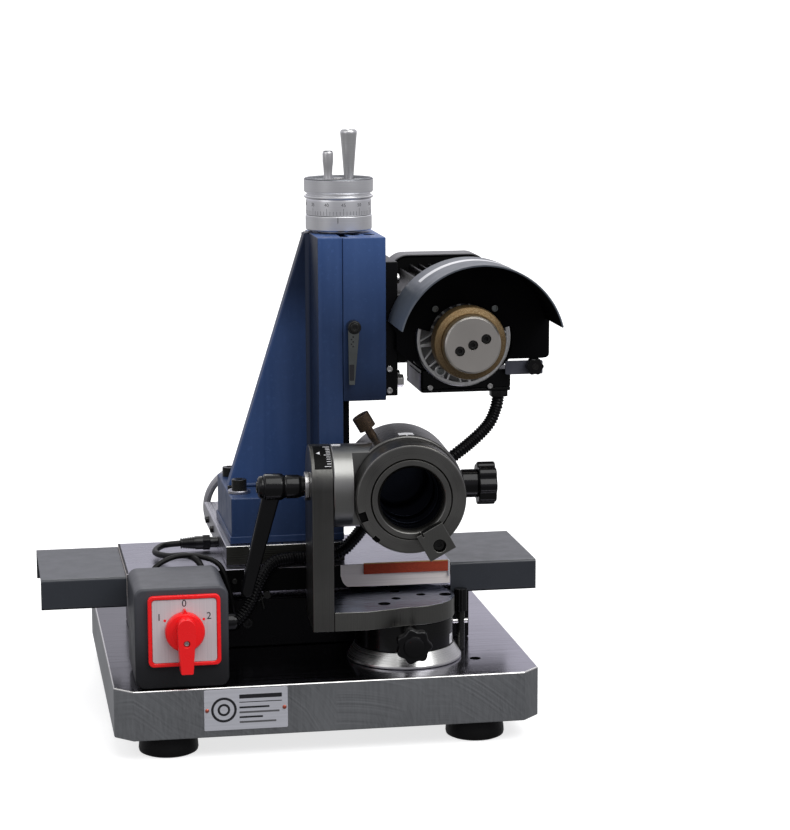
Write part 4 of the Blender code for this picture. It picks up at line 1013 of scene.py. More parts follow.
def build_hand_feed():
    centre = (36.5, -22, 0)
    on("z_dial")
    low, high = span("z_dial")
    radius = (high.x - low.x) / 2
    profile = [(9.4, low.z), (radius - 0.4, low.z), (radius, low.z + 0.4), (radius, high.z - 2.2), (radius - 0.7, high.z), (9.4, high.z)]
    piece(turned("dial_body", "z", centre, profile, 144), "satin_aluminium", "z_dial")
    marks = []
    for i in range(60):
        angle = math.radians(6 * i)
        tall = 6.6 if i % 5 == 0 else 3.8
        mark = box("mark", (radius - 0.2, radius + 0.05), (-0.13, 0.13), (low.z + 0.7, low.z + 0.7 + tall))
        mark.data.transform(LAYOUT @ Matrix.Translation(centre) @ Matrix.Rotation(angle, 4, "Z") @ LAYOUT.inverted())
        marks.append(mark)
    for i in range(12):
        figure = lettering("figure", str(5 * i), 4.4, 0.3)
        turn = Matrix.Rotation(math.radians(30 * i), 4, "Z")
        upright = Matrix.Rotation(math.radians(90), 4, "Z") @ Matrix.Rotation(math.radians(90), 4, "X")
        figure.data.transform(LAYOUT @ Matrix.Translation(centre) @ turn @ Matrix.Translation((radius - 0.08, 0, low.z + 10.2)) @ upright)
        marks.append(figure)
    piece(gather("dial_marks", marks), "mark_grey")

    on("z_feed")
    low, high = span("z_handwheel")
    top = high.z
    profile = [(0, low.z), (8.8, low.z), (8.8, low.z + 15.4), (31.2, low.z + 15.4), (32.3, low.z + 16.2), (32.3, low.z + 17.4)]
    profile += [(31.4, low.z + 18.2), (29.8, low.z + 18.5), (29.8, low.z + 20.2), (31.3, low.z + 20.8), (32.3, low.z + 21.8)]
    profile += [(32.4, top - 1.4), (31.6, top - 0.3), (30.6, top), (29.6, top - 0.4), (27.6, top - 2.6), (18, top - 3.4), (8, top - 2.6), (0, top - 2.4)]
    wheel = piece(turned("handwheel_body", "z", centre, profile, 160), "satin_aluminium", "z_handwheel", edge=0.2, segments=2)
    # The dished top takes the painted shade.
    face_looks(wheel, ("dish_painted_shade",), lambda n, c: "dish_painted_shade" if n.z > 0.3 and c.z > top - 4 else None)
    low, high = span("z_screw")
    screw = [(0, low.z), (4.0, low.z)]
    z = low.z + 1
    while z < high.z - 4:
        screw += [(4.0, z), (4.8, z + 0.6), (4.8, z + 1.2), (4.0, z + 1.8)]
        z += 3.0
    screw += [(4.8, z), (4.8, high.z), (0, high.z)]
    piece(turned("feed_screw", "z", centre, screw, 32), "bright_steel", "z_screw")
    piece(rod("handwheel_cap_nut", "z", centre, 5.4, (top - 3, top - 0.6), 6), "bright_steel", edge=0.4)

    def grip(node, name, profile):
        low, high = span(node)
        middle = ((low.x + high.x) / 2, (low.y + high.y) / 2, 0)
        points = [(r, low.z + (high.z - low.z) * t) for r, t in profile]
        handle = piece(turned(name, "z", middle, points, 64), "grip_aluminium", node)
        # Upward faces of the grip take the painted shade.
        face_looks(handle, ("dish_painted_shade",), lambda n, c: "dish_painted_shade" if n.z > 0.75 else None)

    on("z_crank_grip")
    tall = [(0, -0.05), (4.6, -0.05), (4.6, 0.03), (5.1, 0.16), (5.8, 0.38), (6.7, 0.64), (7.8, 0.92), (7.9, 0.955), (7.3, 0.985), (6.2, 1.0)]
    grip("z_crank_grip", "crank_grip_body", tall + [(3.6, 1.0), (2.8, 0.975), (0, 0.97)])
    on("z_clamp_grip")
    small = [(0, -0.08), (4.4, -0.08), (4.3, 0.04), (3.9, 0.2), (4.3, 0.42), (4.9, 0.62), (5.0, 0.9), (4.5, 0.97), (3.6, 1.0), (0, 1.0)]
    grip("z_clamp_grip", "clamp_grip_body", small)


# ---------------------------------------------------------------- motor and guard


def build_motor():
    on("z_slide")
    low, high = span("motor_bracket")
    plate = box("bracket_plate", (low.x, 85.8), (low.y, high.y), (low.z, high.z))
    piece(plate, "black_paint", "motor_bracket", edge=1.0)
    piece(box("bracket_saddle", (84, 97.6), (-46, -8), (262, 326)), "black_paint", edge=1.0)
    for z in (234.5, 254.8):
        socket_screw("bracket_screw", "y", (77.6, 0, z + 4), 3.0, (low.y, low.y - 3), "bright_steel")
    for y, z in ((-40, 341), (-12, 341), (-40, 250), (-12, 250)):
        socket_screw("bracket_side_screw", "x", (0, y, z), 4.6, (85.8, 90.4), "bright_steel")
    low, high = span("motor_body")
    front, back = low.y, high.y
    core = prism("motor_core", rounded((98, 196), (255.8, 337), 20, 10), "y", (front, back))
    piece(core, "black_paint", "motor_body", edge=1.0)
    fins = []
    for i in range(9):
        x = 108 + 9.4 * i
        fins.append(box("fin", (x, x + 2.2), (front + 12, back - 3), (334, 343.8 if 0 < i < 8 else 340)))
    for i in range(6):
        z = 268 + 10 * i
        fins.append(box("fin", (193, high.x), (front + 12, back - 3), (z, z + 2.4)))
        fins.append(box("fin", (96.4 if 262 > z or z > 326 else 97.9, 99.5), (front + 42, back - 3), (z, z + 2.4)))
    for i, fin in enumerate(fins):
        piece(fin, "black_paint", edge=0.7)
    low, high = span("motor_rear_cap")
    cap = prism("fan_cover", rounded((low.x, high.x), (low.z, high.z), 18, 12), "y", (low.y, high.y))
    hollow = prism("hollow", rounded((low.x + 1.6, high.x - 1.6), (low.z + 1.6, high.z - 1.6), 16.6, 12), "y", (low.y - 2, high.y - 8))
    slots = []
    middle = ((low.x + high.x) / 2, (low.z + high.z) / 2)
    for i in range(7):
        z = middle[1] - 33 + 11 * i
        half = math.sqrt(max(0, 40 ** 2 - (z - middle[1]) ** 2))
        slots.append(prism("slot", rounded((middle[0] - half, middle[0] + half), (z - 2, z + 2), 1.9, 4), "y", (high.y - 12, high.y + 3)))
    cut(cap, hollow, *slots)
    piece(cap, "grey_cap", "motor_rear_cap", edge=1.0)
    piece(prism("fan_shadow", rounded((low.x + 3, high.x - 3), (low.z + 3, high.z - 3), 15, 8), "y", (low.y + 0.5, high.y - 14)), "painted_shade_black")
    low, high = span("terminal_box")
    outline = rounded((low.x, high.x), (low.y, high.y), 4, 5)
    piece(prism("terminal_body", outline, "z", (low.z + 3.6, high.z)), "black_paint", "terminal_box", edge=0.8)
    piece(prism("terminal_lid", rounded((low.x, high.x), (low.y, high.y), 4, 5), "z", (low.z, low.z + 3.2)), "black_paint", edge=0.8)
    piece(box("terminal_side_plate", (low.x - 1.2, low.x - 0.05), (low.y + 4, low.y + 62), (low.z + 2, high.z - 3)), "side_plate", edge=0.3, segments=2)
    for x in (116.6, 173.9):
        socket_screw("terminal_screw", "y", (x, 0, 239.6), 2.7, (low.y, low.y - 2.2), "bright_steel", 0.5)
    nut = turned("conduit_nut", "z", (184, -50, 0), [(6.4, low.z - 6), (9.2, low.z - 6), (9.2, low.z), (6.4, low.z)], 6)
    piece(nut, "black_plastic", edge=0.5)
    low, high = span("motor_clamp_bolt")
    centre = (0, (low.y + high.y) / 2, (low.z + high.z) / 2)
    bolt = turned("clamp_bolt_head", "x", centre, [(0, low.x), (6.2, low.x), (6.2, high.x - 0.8), (5.4, high.x), (0, high.x)], 6)
    piece(bolt, "bright_steel", "motor_clamp_bolt", edge=0.4)


def build_bell():
    """Cast end shield: a rim and a hub with ribs and pockets between them."""
    on("z_slide")
    low, high = span("motor_bell")
    centre = (147, 0, 286)
    face = -65.0
    # The pocket floor behind the ribs: painted shade.
    piece(turned("bell_back", "y", centre, [(10.8, face + 3.4), (44, face + 3.4), (44, high.y), (10.8, high.y)], 96), "bell_pocket_painted_shade", "motor_bell")
    rim = [(40.6, high.y), (40.2, face + 1), (41, face - 0.4), (44, face - 0.4), (45.3, face + 1.6), (45.3, high.y)]
    piece(turned("bell_rim", "y", centre, rim, 128), "cast_aluminium", edge=0.4)
    hub = [(10.8, low.y), (19.5, low.y), (21, low.y + 1.5), (25, face + 1), (27, high.y), (10.8, high.y)]
    piece(turned("bell_hub", "y", centre, hub, 96), "cast_aluminium", edge=0.6)
    for i in range(12):
        angle = math.radians(8 + 30 * i)
        along = Vector((math.cos(angle), math.sin(angle)))
        side = Vector((-along.y, along.x))
        wide, slim = (2.4, 1.3) if i % 3 == 0 else (1.6, 0.8)
        corners = [along * 20 + side * wide, along * 41.5 + side * slim, along * 41.5 - side * slim, along * 20 - side * wide]
        rib = prism(f"bell_rib_{i}", [(147 + p.x, 286 + p.y) for p in corners], "y", (face - 1.4, face + 4))
        piece(rib, "cast_aluminium", edge=0.6)
    for i in range(12):
        start, end = (math.radians(8 + 30 * i + step) for step in (3, 24 if i % 2 else 19))
        inner, outer = (Vector((math.cos(a), math.sin(a))) * r for a, r in ((start, 26), (end, 41.3)))
        side = Vector((inner.y - outer.y, outer.x - inner.x)).normalized() * 0.8
        web = prism(f"bell_web_{i}", [(147 + p.x, 286 + p.y) for p in (inner + side, outer + side, outer - side, inner - side)], "y", (face - 0.6, face + 4))
        piece(web, "cast_aluminium", edge=0.5)
    for i in range(4):
        angle = math.radians(53 + 90 * i)
        x, z = 147 + 37 * math.cos(angle), 286 + 37 * math.sin(angle)
        piece(rod(f"bell_boss_{i}", "y", (x, 0, z), 5.4, (face - 2, face + 4), 40), "cast_aluminium", edge=0.6)
        if z < 286:
            socket_screw(f"bell_screw_{i}", "y", (x, 0, z), 3.4, (face - 2, face - 5), "lever_steel")


def build_guard():
    on("z_slide")
    low, high = span("wheel_guard")
    cx, cz, radius = 151.0, 285.0, 77.6
    front, back = low.y, high.y
    outer = arc(cx, cz, radius, 14, 166, 96)
    inner = arc(cx, cz, radius - 1.8, 166, 14, 96)
    band = prism("guard_band", outer + inner, "y", (front, back))
    slant = [(front - 4, 270), (front - 4, 297.5), (back - 2.2, 303), (back - 2.2, 270)]
    cut(band, prism("tip", slant, "x", (215, 240)))
    piece(band, "guard_paint", "wheel_guard", edge=0.5)
    # The band's inner faces take the painted shade.
    face_looks(band, ("guard_inside_painted_shade",), lambda n, c: "guard_inside_painted_shade" if n.x * (c.x - cx) + n.z * (c.z - cz) < -20 else None)
    # Back plate, and below it the spacer ring, near-black: painted shade inside the guard.
    outline = arc(cx, cz, radius - 1.0, 14, 166, 96)
    outline += [(83.0, 293.0), (83.0, 276.0), (96.0, 266.0)] + [(222.0, 266.0)] + arc(224.9, 270.4, 4.0, 270, 360, 6) + [(228.9, 303.0)]
    plate = prism("guard_back", outline, "y", (-67.4, -65.6))
    hole = arc(147, 286, 46.8, 166, 374, 60) + arc(147, 286, 33.4, 14, 166, 60)
    cut(plate, prism("opening", hole, "y", (-75, -60)))
    piece(plate, "guard_inside_painted_shade", edge=0.4)
    skirt = prism("guard_spacer", arc(cx, cz, radius - 1.9, 16, 164, 64) + arc(cx, cz, radius - 6, 164, 16, 64), "y", (-65.6, -62.2))
    piece(skirt, "guard_inside_painted_shade")
    tab = prism("guard_tab", rounded((187, 223), (251, 264), 1.5, 4), "y", (-66.6, -64.2))
    piece(tab, "pale_paint", edge=0.4)
    # The tab's foot is near-black too: painted shade.
    piece(box("guard_tab_foot", (190, 212), (-64.3, -60), (256, 262)), "guard_inside_painted_shade", edge=0.4)
    for x, z in ((119.4, 315.3), (175.9, 314.5)):
        socket_screw("guard_screw", "y", (x, 0, z), 3.3, (-67.4, -70.2), "lever_steel", 0.6)
    # A thin white strip round the band's outer face, where a highlight strip runs: painted highlight.
    stripe = []
    rings = 40
    points = []
    for i in range(rings + 1):
        angle = math.radians(131 - 66 * i / rings)
        for r in (radius - 0.1, radius + 0.18):
            for y in (-97.5, -86.5):
                points.append((cx + r * math.cos(angle), y, cz + r * math.sin(angle)))
    for i in range(rings):
        a, b = 4 * i, 4 * i + 4
        stripe += [(a, a + 1, b + 1, b), (a + 2, b + 2, b + 3, a + 3), (a, b, b + 2, a + 2), (a + 1, a + 3, b + 3, b + 1)]
    stripe += [(0, 2, 3, 1), (4 * rings, 4 * rings + 1, 4 * rings + 3, 4 * rings + 2)]
    piece(mesh_object("guard_stripe", points, stripe), "label_white")
    on("guard_knob")
    low, high = span("guard_knob")
    middle = ((low.x + high.x) / 2, (low.z + high.z) / 2)
    knob = prism("guard_knob_body", lobed(*middle, 8.4, 1.3, 6, 12), "y", (low.y, high.y - 4))
    piece(knob, "black_plastic", "guard_knob", edge=1.0)
    piece(rod("guard_knob_stem", "y", (middle[0], 0, middle[1]), 5, (high.y - 4.2, high.y), 32), "black_plastic")
    piece(rod("guard_knob_insert", "y", (middle[0], 0, middle[1]), 3.2, (low.y - 0.3, low.y + 0.5), 32), "black_oxide", edge=0.15)


def build_wheel():
    on("grinding_spindle")
    cx, cz = 147.0, 286.0
    low, high = span("wheel_spindle")
    face = low.y
    profile = [(0, face), (24.9, face), (26.4, face + 1.2), (26.6, face + 2), (26.6, face + 11), (22, face + 14), (22, face + 30)]
    profile += [(10.2, face + 30), (10.2, high.y), (0, high.y)]
    flange = turned("wheel_flange", "y", (cx, 0, cz), profile, 128)
    tilt = math.radians(23.5)
    places = [(cx + 13.4 * i * math.cos(tilt), cz + 13.4 * i * math.sin(tilt)) for i in (-1, 0, 1)]
    cut(flange, *[rod("counterbore", "y", (x, 0, z), 4.7, (face - 3, face + 6)) for x, z in places])
    piece(flange, "flange_steel", "wheel_spindle", edge=0.35)
    for i, (x, z) in enumerate(places):
        socket_screw(f"flange_screw_{i}", "y", (x, 0, z), 4.2, (face + 5.8, face + 0.9), "black_oxide", 0.5)
        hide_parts(f"hub_screw_{i}")
    low, high = span("grinding_wheel")
    grit = [(26.9, low.y + 0.6), (28, low.y), (33.4, low.y + 1.4), (34.2, low.y + 3.6), (34.2, high.y - 2), (31, high.y), (22.2, high.y)]
    grit += [(22.2, low.y + 3.2), (26.9, low.y + 3.0)]
    piece(turned("abrasive_ring", "y", (cx, 0, cz), grit, 128), "gold_abrasive", "grinding_wheel", edge=0.3)
    piece(tube("wheel_collar", "y", (cx, 0, cz), (26.7, 27.6), (low.y - 5, low.y + 0.7), 128), "brass_rim")


# ---------------------------------------------------------------- workhead


def build_head_base():
    on("base")
    low, high = span("swivel_ring")
    cx, cy = (low.x + high.x) / 2, (low.y + high.y) / 2
    ring = [(0, low.z), (52.4, low.z), (52.9, low.z + 0.5), (52.9, low.z + 1.9), (52.4, low.z + 2.6), (46.2, high.z - 0.6), (45.4, high.z), (0, high.z)]
    piece(turned("ring_body", "z", (cx, cy, 0), ring, 192), "ring_bright", "swivel_ring")
    low, high = span("swivel_stop")
    post = ((low.x + high.x) / 2, (low.y + high.y) / 2, 0)
    post = (135.4, post[1], 0)
    profile = [(0, low.z), (3.8, low.z), (3.8, 36.5), (0, 36.5)]
    piece(turned("stop_post", "z", post, profile, 40), "black_oxide", "swivel_stop", edge=0.3, segments=2)
    knob = prism("stop_knob", lobed(post[0], post[1], 6.0, 0.7, 12, 8), "z", (36.7, high.z))
    piece(knob, "black_plastic", edge=0.8)
    piece(rod("stop_pin", "x", (0, post[1], 27), 2.6, (low.x, high.x), 32), "bright_steel", edge=0.5)
    on("workhead", HEAD)
    low, high = span("swivel_disc")
    disc = [(0, low.z), (45.2, low.z), (45.4, low.z + 0.4), (45.4, high.z - 0.4), (45.0, high.z), (0, high.z)]
    piece(turned("disc_body", "z", (cx, cy, 0), disc, 192), "disc_dark", "swivel_disc")
    marker = []
    for i in range(9):
        angle = math.radians(-30 + 1.2 * i)
        marker.append((cx + 45.6 * math.cos(angle), cy + 45.6 * math.sin(angle)))
    for i in range(8, -1, -1):
        angle = math.radians(-30 + 1.2 * i)
        marker.append((cx + 45.2 * math.cos(angle), cy + 45.2 * math.sin(angle)))
    piece(prism("disc_label", marker, "z", (15.4, 24.4)), "label_white")
    angle = math.radians(-25.2)
    arrow = box("disc_arrow", (45.5, 45.75), (-0.55, 0.55), (17.6, 22))
    arrow.data.transform(LAYOUT @ Matrix.Translation((cx, cy, 0)) @ Matrix.Rotation(angle + math.radians(-2.8), 4, "Z") @ HEAD.inverted())
    piece(arrow, "ink")

    low, high = span("head_plate")
    outline = [(low.x, cy - 59), (cx - 40, cy - 59)] + arc(cx, cy, 46.8, -92, 118, 96) + [(low.x, -110)]
    plate = prism("plate_body", outline, "z", (low.z, high.z))
    tools = []
    floors = []
    tapped = []
    for i in range(3):
        angle = math.radians(115 + 120 * i)
        x, y = cx + 38.3 * math.cos(angle), cy + 38.3 * math.sin(angle)
        tools.append(rod("counterbore", "z", (x, y, 0), 5.8, (47, 60)))
        floors.append((x, y))
        tapped.append((x, y))
        angle = math.radians(116 + 120 * i)
        x, y = cx + 15.7 * math.cos(angle), cy + 15.7 * math.sin(angle)
        tools.append(rod("tapping", "z", (x, y, 0), 4.4, (44, 60)))
        tapped.append((x, y))
    round_edges(plate, 0.6)
    cut(plate, *tools)
    piece(plate, "gunmetal", "head_plate")

    def choose(normal, centre):
        flat = HEAD.inverted() @ LAYOUT @ centre
        # Walls of the tapped holes: painted shade.
        if any(math.hypot(flat.x - a, flat.y - b) < 7 for a, b in tapped) and normal.z < 0.9:
            return "painted_shade_black"
        # Upward faces take the painted reflection.
        return "plate_top_painted_reflection" if normal.z > 0.9 and centre.z > 56 else None

    face_looks(plate, ("plate_top_painted_reflection", "painted_shade_black"), choose)
    for i, (x, y) in enumerate(floors):
        socket_screw(f"plate_screw_{i}", "z", (x, y, 0), 5.0, (47.1, 51))
    on("swivel_knob", HEAD)
    low, high = span("swivel_knob")
    kx, kz = (low.x + high.x) / 2, 27.8
    star = prism("star_knob", lobed(kx, kz, 16.6, 2.5, 7, 14), "y", (low.y + 2.2, low.y + 12.5))
    piece(star, "black_plastic", "swivel_knob", edge=2.0, segments=4)
    cap = [(0, low.y), (7.6, low.y), (9.2, low.y + 0.8), (10, low.y + 2.6), (0, low.y + 2.6)]
    piece(turned("star_cap", "y", (kx, 0, kz), cap, 64), "black_plastic")
    stem = [(0, low.y + 12.3), (9, low.y + 12.3), (8.2, low.y + 17), (6.2, low.y + 19), (6.2, high.y), (0, high.y)]
    piece(turned("star_stem", "y", (kx, 0, kz), stem, 48), "bright_steel", edge=0.3, segments=2)


def build_upright():
    on("workhead", HEAD)
    low, high = span("head_upright")
    middle, half = (low.y + high.y) / 2, (high.y - low.y) / 2
    crown = high.z - half
    outline = [(low.y, low.z), (high.y, low.z)] + arc(middle, crown, half, 0, 180, 72)
    upright = prism("upright_body", outline, "x", (low.x, high.x))
    piece(upright, "head_grain", "head_upright", edge=0.7)
    scale = []
    for i in range(13):
        angle = math.radians(100 + 4 * i)
        scale.append((middle + (half + 0.22) * math.cos(angle), crown + (half + 0.22) * math.sin(angle)))
    for i in range(12, -1, -1):
        angle = math.radians(100 + 4 * i)
        scale.append((middle + (half - 0.2) * math.cos(angle), crown + (half - 0.2) * math.sin(angle)))
    piece(prism("tilt_scale", scale, "x", (low.x + 3.0, high.x - 0.8)), "matte_black_and_painted_shade")
    marks = []
    for i in range(11):
        angle = math.radians(104 + 4 * i - 90)
        reach = (high.x - 1.4 - (5.6 if i % 5 == 0 else 3.4), high.x - 1.2)
        mark = box("mark", reach, (-0.28, 0.28), (half - 0.1, half + 0.42))
        mark.data.transform(HEAD @ Matrix.Translation((0, middle, crown)) @ Matrix.Rotation(angle, 4, "X") @ HEAD.inverted())
        marks.append(mark)
    angle = math.radians(120 - 90)
    arrow = turned("mark", "z", (low.x + 7.4, 0, half), [(0, -0.1), (2.2, -0.1), (2.2, 0.42), (0, 0.42)], 3)
    arrow.data.transform(HEAD @ Matrix.Translation((0, middle, crown)) @ Matrix.Rotation(angle, 4, "X") @ HEAD.inverted())
    marks.append(arrow)
    piece(gather("tilt_marks", marks), "label_white")
    low, high = span("lever_washer")
    piece(tube("washer_body", "x", (0, -147, TILT_Z), (7.2, 13.2), (low.x, high.x), 96), "bright_steel", "lever_washer", edge=0.4)
    on("clamp_lever", HEAD)
    low, high = span("clamp_lever")
    centre = (0, -147, TILT_Z)
    hub = [(0, -56), (7.6, -56), (9.8, -54.6), (10.6, -52.2), (10.2, -51), (11.8, -50), (12.3, -48.6), (12.3, -36), (11.8, -34), (10.6, -32.4)]
    hub += [(10.2, -31), (10.8, -30), (10.8, -20), (9.8, -17.6), (8.8, high.x), (0, high.x)]
    piece(turned("lever_hub", "x", centre, hub, 96), "black_plastic", "clamp_lever", edge=0.3, segments=2)
    arm = [(-52.6, TILT_Z + 2), (-52.8, TILT_Z - 10), (-72.4, 74)] + arc(-66.8, 72.2, 5.8, 192, 348, 16) + [(-36.4, TILT_Z - 10), (-36.4, TILT_Z + 2)]
    blade = prism("lever_arm", arm, "y", (-153.2, -140.8))
    piece(blade, "black_plastic", edge=2.4, segments=4)
    socket_screw("lever_screw", "x", (0, -147, TILT_Z), 5.2, (-55.9, -57.2), "black_oxide")


def build_barrel():
    on("tilting_barrel", HEAD)
    low, high = span("head_barrel")
    bx, bz = 77.5, BARREL_Z
    rear, seam = high.y, -165.4
    shell = [(34.6, seam), (50.6, seam), (51.6, seam + 0.8), (52, seam + 2), (52, rear - 2.4), (51.2, rear - 0.8), (49.6, rear), (34.6, rear)]
    barrel = turned("barrel_shell", "y", (bx, 0, bz), shell, 192)
    piece(barrel, "barrel_turned", "head_barrel")
    trunnion = turned("barrel_trunnion", "x", (0, -147, TILT_Z), [(0, 9.7), (36.8, 9.7), (37.6, 10.6), (37.6, 62), (0, 62)], 160)
    inside = rod("inside", "y", (bx, 0, bz), 50, (-240, -60), 120)
    ahead = box("ahead", (27.3, 140), (-240, seam), (80, 250))
    cut(trunnion, inside, ahead)
    piece(trunnion, "trunnion_turned")
    piece(rod("barrel_journal", "x", (0, -147, TILT_Z), 12, (-9.9, 10), 48), "bright_steel")
    patch = []
    for sign, radius in ((1, 52.3), (-1, 51.8)):
        for i in range(9):
            angle = math.radians(90 + sign * (-7.5 + 15 * i / 8))
            patch.append((bx + radius * math.cos(angle), bz + radius * math.sin(angle)))
    piece(prism("barrel_label", patch, "y", (seam + 5.5, seam + 14.5)), "label_white")
    tick = box("barrel_tick", (bx - 0.6, bx + 0.6), (seam + 1.2, seam + 6.4), (bz + 51.9, bz + 52.25))
    piece(tick, "label_white")
    pointer = box("tilt_pointer", (10.4, 18.6), (-153, -148.5), (TILT_Z + 37.2, TILT_Z + 37.9))
    piece(pointer, "label_white", edge=0.2, segments=2)
    lean = Matrix.Translation((bx, -125, bz)) @ Matrix.Rotation(math.radians(-30.5), 4, "Y")
    turn = HEAD @ lean @ HEAD.inverted()
    shank = rod("cap_screw_shank", "z", (0, 0, 0), 3.9, (47, 61.2), 40)
    shank.data.transform(turn)
    piece(shank, "brown_oxide")
    head = prism("cap_screw_head", lobed(0, 0, 8.2, 0.35, 36, 4), "z", (61, 75))
    cut(head, rod("socket", "z", (0, 0, 0), 4.1, (69, 78), 6, phase=0))
    head.data.transform(turn)
    piece(head, "brown_oxide", "cap_screw", edge=0.35, segments=2)


def build_index():
    on("work_spindle", HEAD)
    low, high = span("work_spindle")
    bx, bz, front, back = 77.5, BARREL_Z, low.y, -165.8
    ring = [(36.0, back), (36.0, front + 5), (36.2, front + 1.0), (37.0, front), (47.0, front), (48.6, front + 0.7), (49.3, front + 2.2)]
    ring += [(49.3, back - 1.6), (48.8, back)]
    face = turned("index_ring", "y", (bx, 0, bz), ring, 192)
    notches = []
    for turn, radius, half in ((199, 46.8, 4.6), (228, 48.4, 3.2)):
        angle = math.radians(turn)
        notch = box("notch", (radius - half, radius + 8), (front - 3, front + 9), (-half, half))
        notch.data.transform(HEAD @ Matrix.Translation((bx, 0, bz)) @ Matrix.Rotation(-angle, 4, "Y") @ HEAD.inverted())
        notches.append(notch)
    cut(face, *notches)
    piece(face, "face_turned", "work_spindle", edge=0.3, segments=2)
    # Near-black blocks in the index notches: painted shade.
    for turn, radius, half in ((199, 46.4, 4.0), (228, 47.4, 2.6)):
        angle = math.radians(turn)
        notch_shade = box("index_notch_shade", (radius - half, radius + 2.4), (front + 1.6, front + 8.8), (-half, half))
        notch_shade.data.transform(HEAD @ Matrix.Translation((bx, 0, bz)) @ Matrix.Rotation(-angle, 4, "Y") @ HEAD.inverted())
        piece(notch_shade, "painted_shade_black", edge=0.3, segments=2)
    lip = [(28, front + 9), (28, front + 3.4), (30.6, front - 0.2), (31.2, front - 0.5), (35.2, front - 0.5), (35.8, front + 0.3), (35.8, front + 9)]
    piece(turned("bore_lip", "y", (bx, 0, bz), lip, 160), "face_turned")
    floor = span("work_spindle")[1].y - 12
    # Bore sleeve and steps: painted shade.
    sleeve = [(27.9, front + 8.6), (35.6, front + 8.6), (34.1, back), (34.1, high.y), (0, high.y), (0, floor), (27.9, floor)]
    piece(turned("bore_sleeve", "y", (bx, 0, bz), sleeve, 128), "bore_painted_shade")
    for depth, radius in ((26, 26.4), (48, 24.6)):
        step = [(radius, front + depth), (27.95, front + depth), (27.95, front + depth + 14), (radius, front + depth + 14)]
        piece(turned("bore_step", "y", (bx, 0, bz), step, 96), "bore_painted_shade", edge=0.5)
    tilt = math.radians(29)
    cx, cz = bx + 20.5, bz - 37.0

    def square(a, b):
        return (cx + a * math.cos(tilt) - b * math.sin(tilt), cz + a * math.sin(tilt) + b * math.cos(tilt))

    low, high = span("clamp_block")
    corners = [square(a, b) for a, b in ((-13, -13), (13, -13), (13, 13), (-13, 13))]
    block = prism("clamp_block_body", corners, "y", (low.y, high.y))
    hx, hz = square(0.9, -4.4)
    slit = prism("slit", [square(a, b) for a, b in ((-8.2, 9.6), (-7.0, 9.6), (-7.0, 14), (-8.2, 14))], "y", (low.y - 2, high.y + 2))
    cut(block, rod("hole", "y", (hx, 0, hz), 5.8, (low.y - 3, low.y + 8)), slit)
    piece(block, "gunmetal", "clamp_block", edge=0.45)
    socket_screw("clamp_block_screw", "y", (hx, 0, hz), 5.0, (low.y + 7.9, low.y + 4.2), "black_oxide")
    on("barrel_knob", HEAD)
    low, high = span("barrel_knob")
    ky, kz = -130.0, BARREL_Z
    outer = prism("barrel_knob_body", lobed(ky, kz, 19.8, 2.3, 8, 16, 1.6), "x", (high.x - 17.8, high.x - 1.2))
    piece(outer, "black_plastic", "barrel_knob", edge=1.5, segments=4)
    cap = [(0, high.x), (10, high.x), (13, high.x - 0.5), (15, high.x - 1.3), (0, high.x - 1.3)]
    piece(turned("barrel_knob_cap", "x", (0, ky, kz), cap, 96), "black_plastic")
    stem = [(0, 131.6), (12.4, 131.6), (13.0, 132.4), (13.0, 145.6), (12.4, 146.2), (0, 146.2)]
    piece(turned("barrel_knob_collar", "x", (0, ky, kz), stem, 96), "black_plastic")
    piece(rod("barrel_knob_screw", "x", (0, ky, kz), 4.5, (low.x, 132), 32), "bright_steel")


# ---------------------------------------------------------------- leads


def corrugated(route, wide, narrow):
    """Radii of a corrugated hose, with a ridge at every second point."""
    return [wide if i % 4 in (1, 2) else narrow for i in range(len(route))]


def hose(name, points, first, last, bodies, nodes, radii, look, step):
    """A stretch of a lead between two bodies, from one of its points to another. It rides on a body only when both of
    its bodies are the same.
    """
    route = smooth_route(points, step)
    places = [min(range(len(route)), key=lambda i: (route[i] - Vector(points[k])).length) for k in (first, last)]
    size = corrugated(route, *radii) if len(radii) == 2 else [radii[0]] * len(route)
    part = route[places[0]:places[1] + 1]
    obj = sweep(name, part, size[places[0]:places[1] + 1], 20)
    mesh = obj.data
    mesh.polygons.foreach_set("use_smooth", [True] * len(mesh.polygons))
    mesh.set_sharp_from_angle(angle=math.radians(60))
    mesh.materials.append(LOOKS[look])
    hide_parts(*nodes)
    if bodies[0] == bodies[1]:
        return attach(obj, bodies[0])
    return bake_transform(obj)


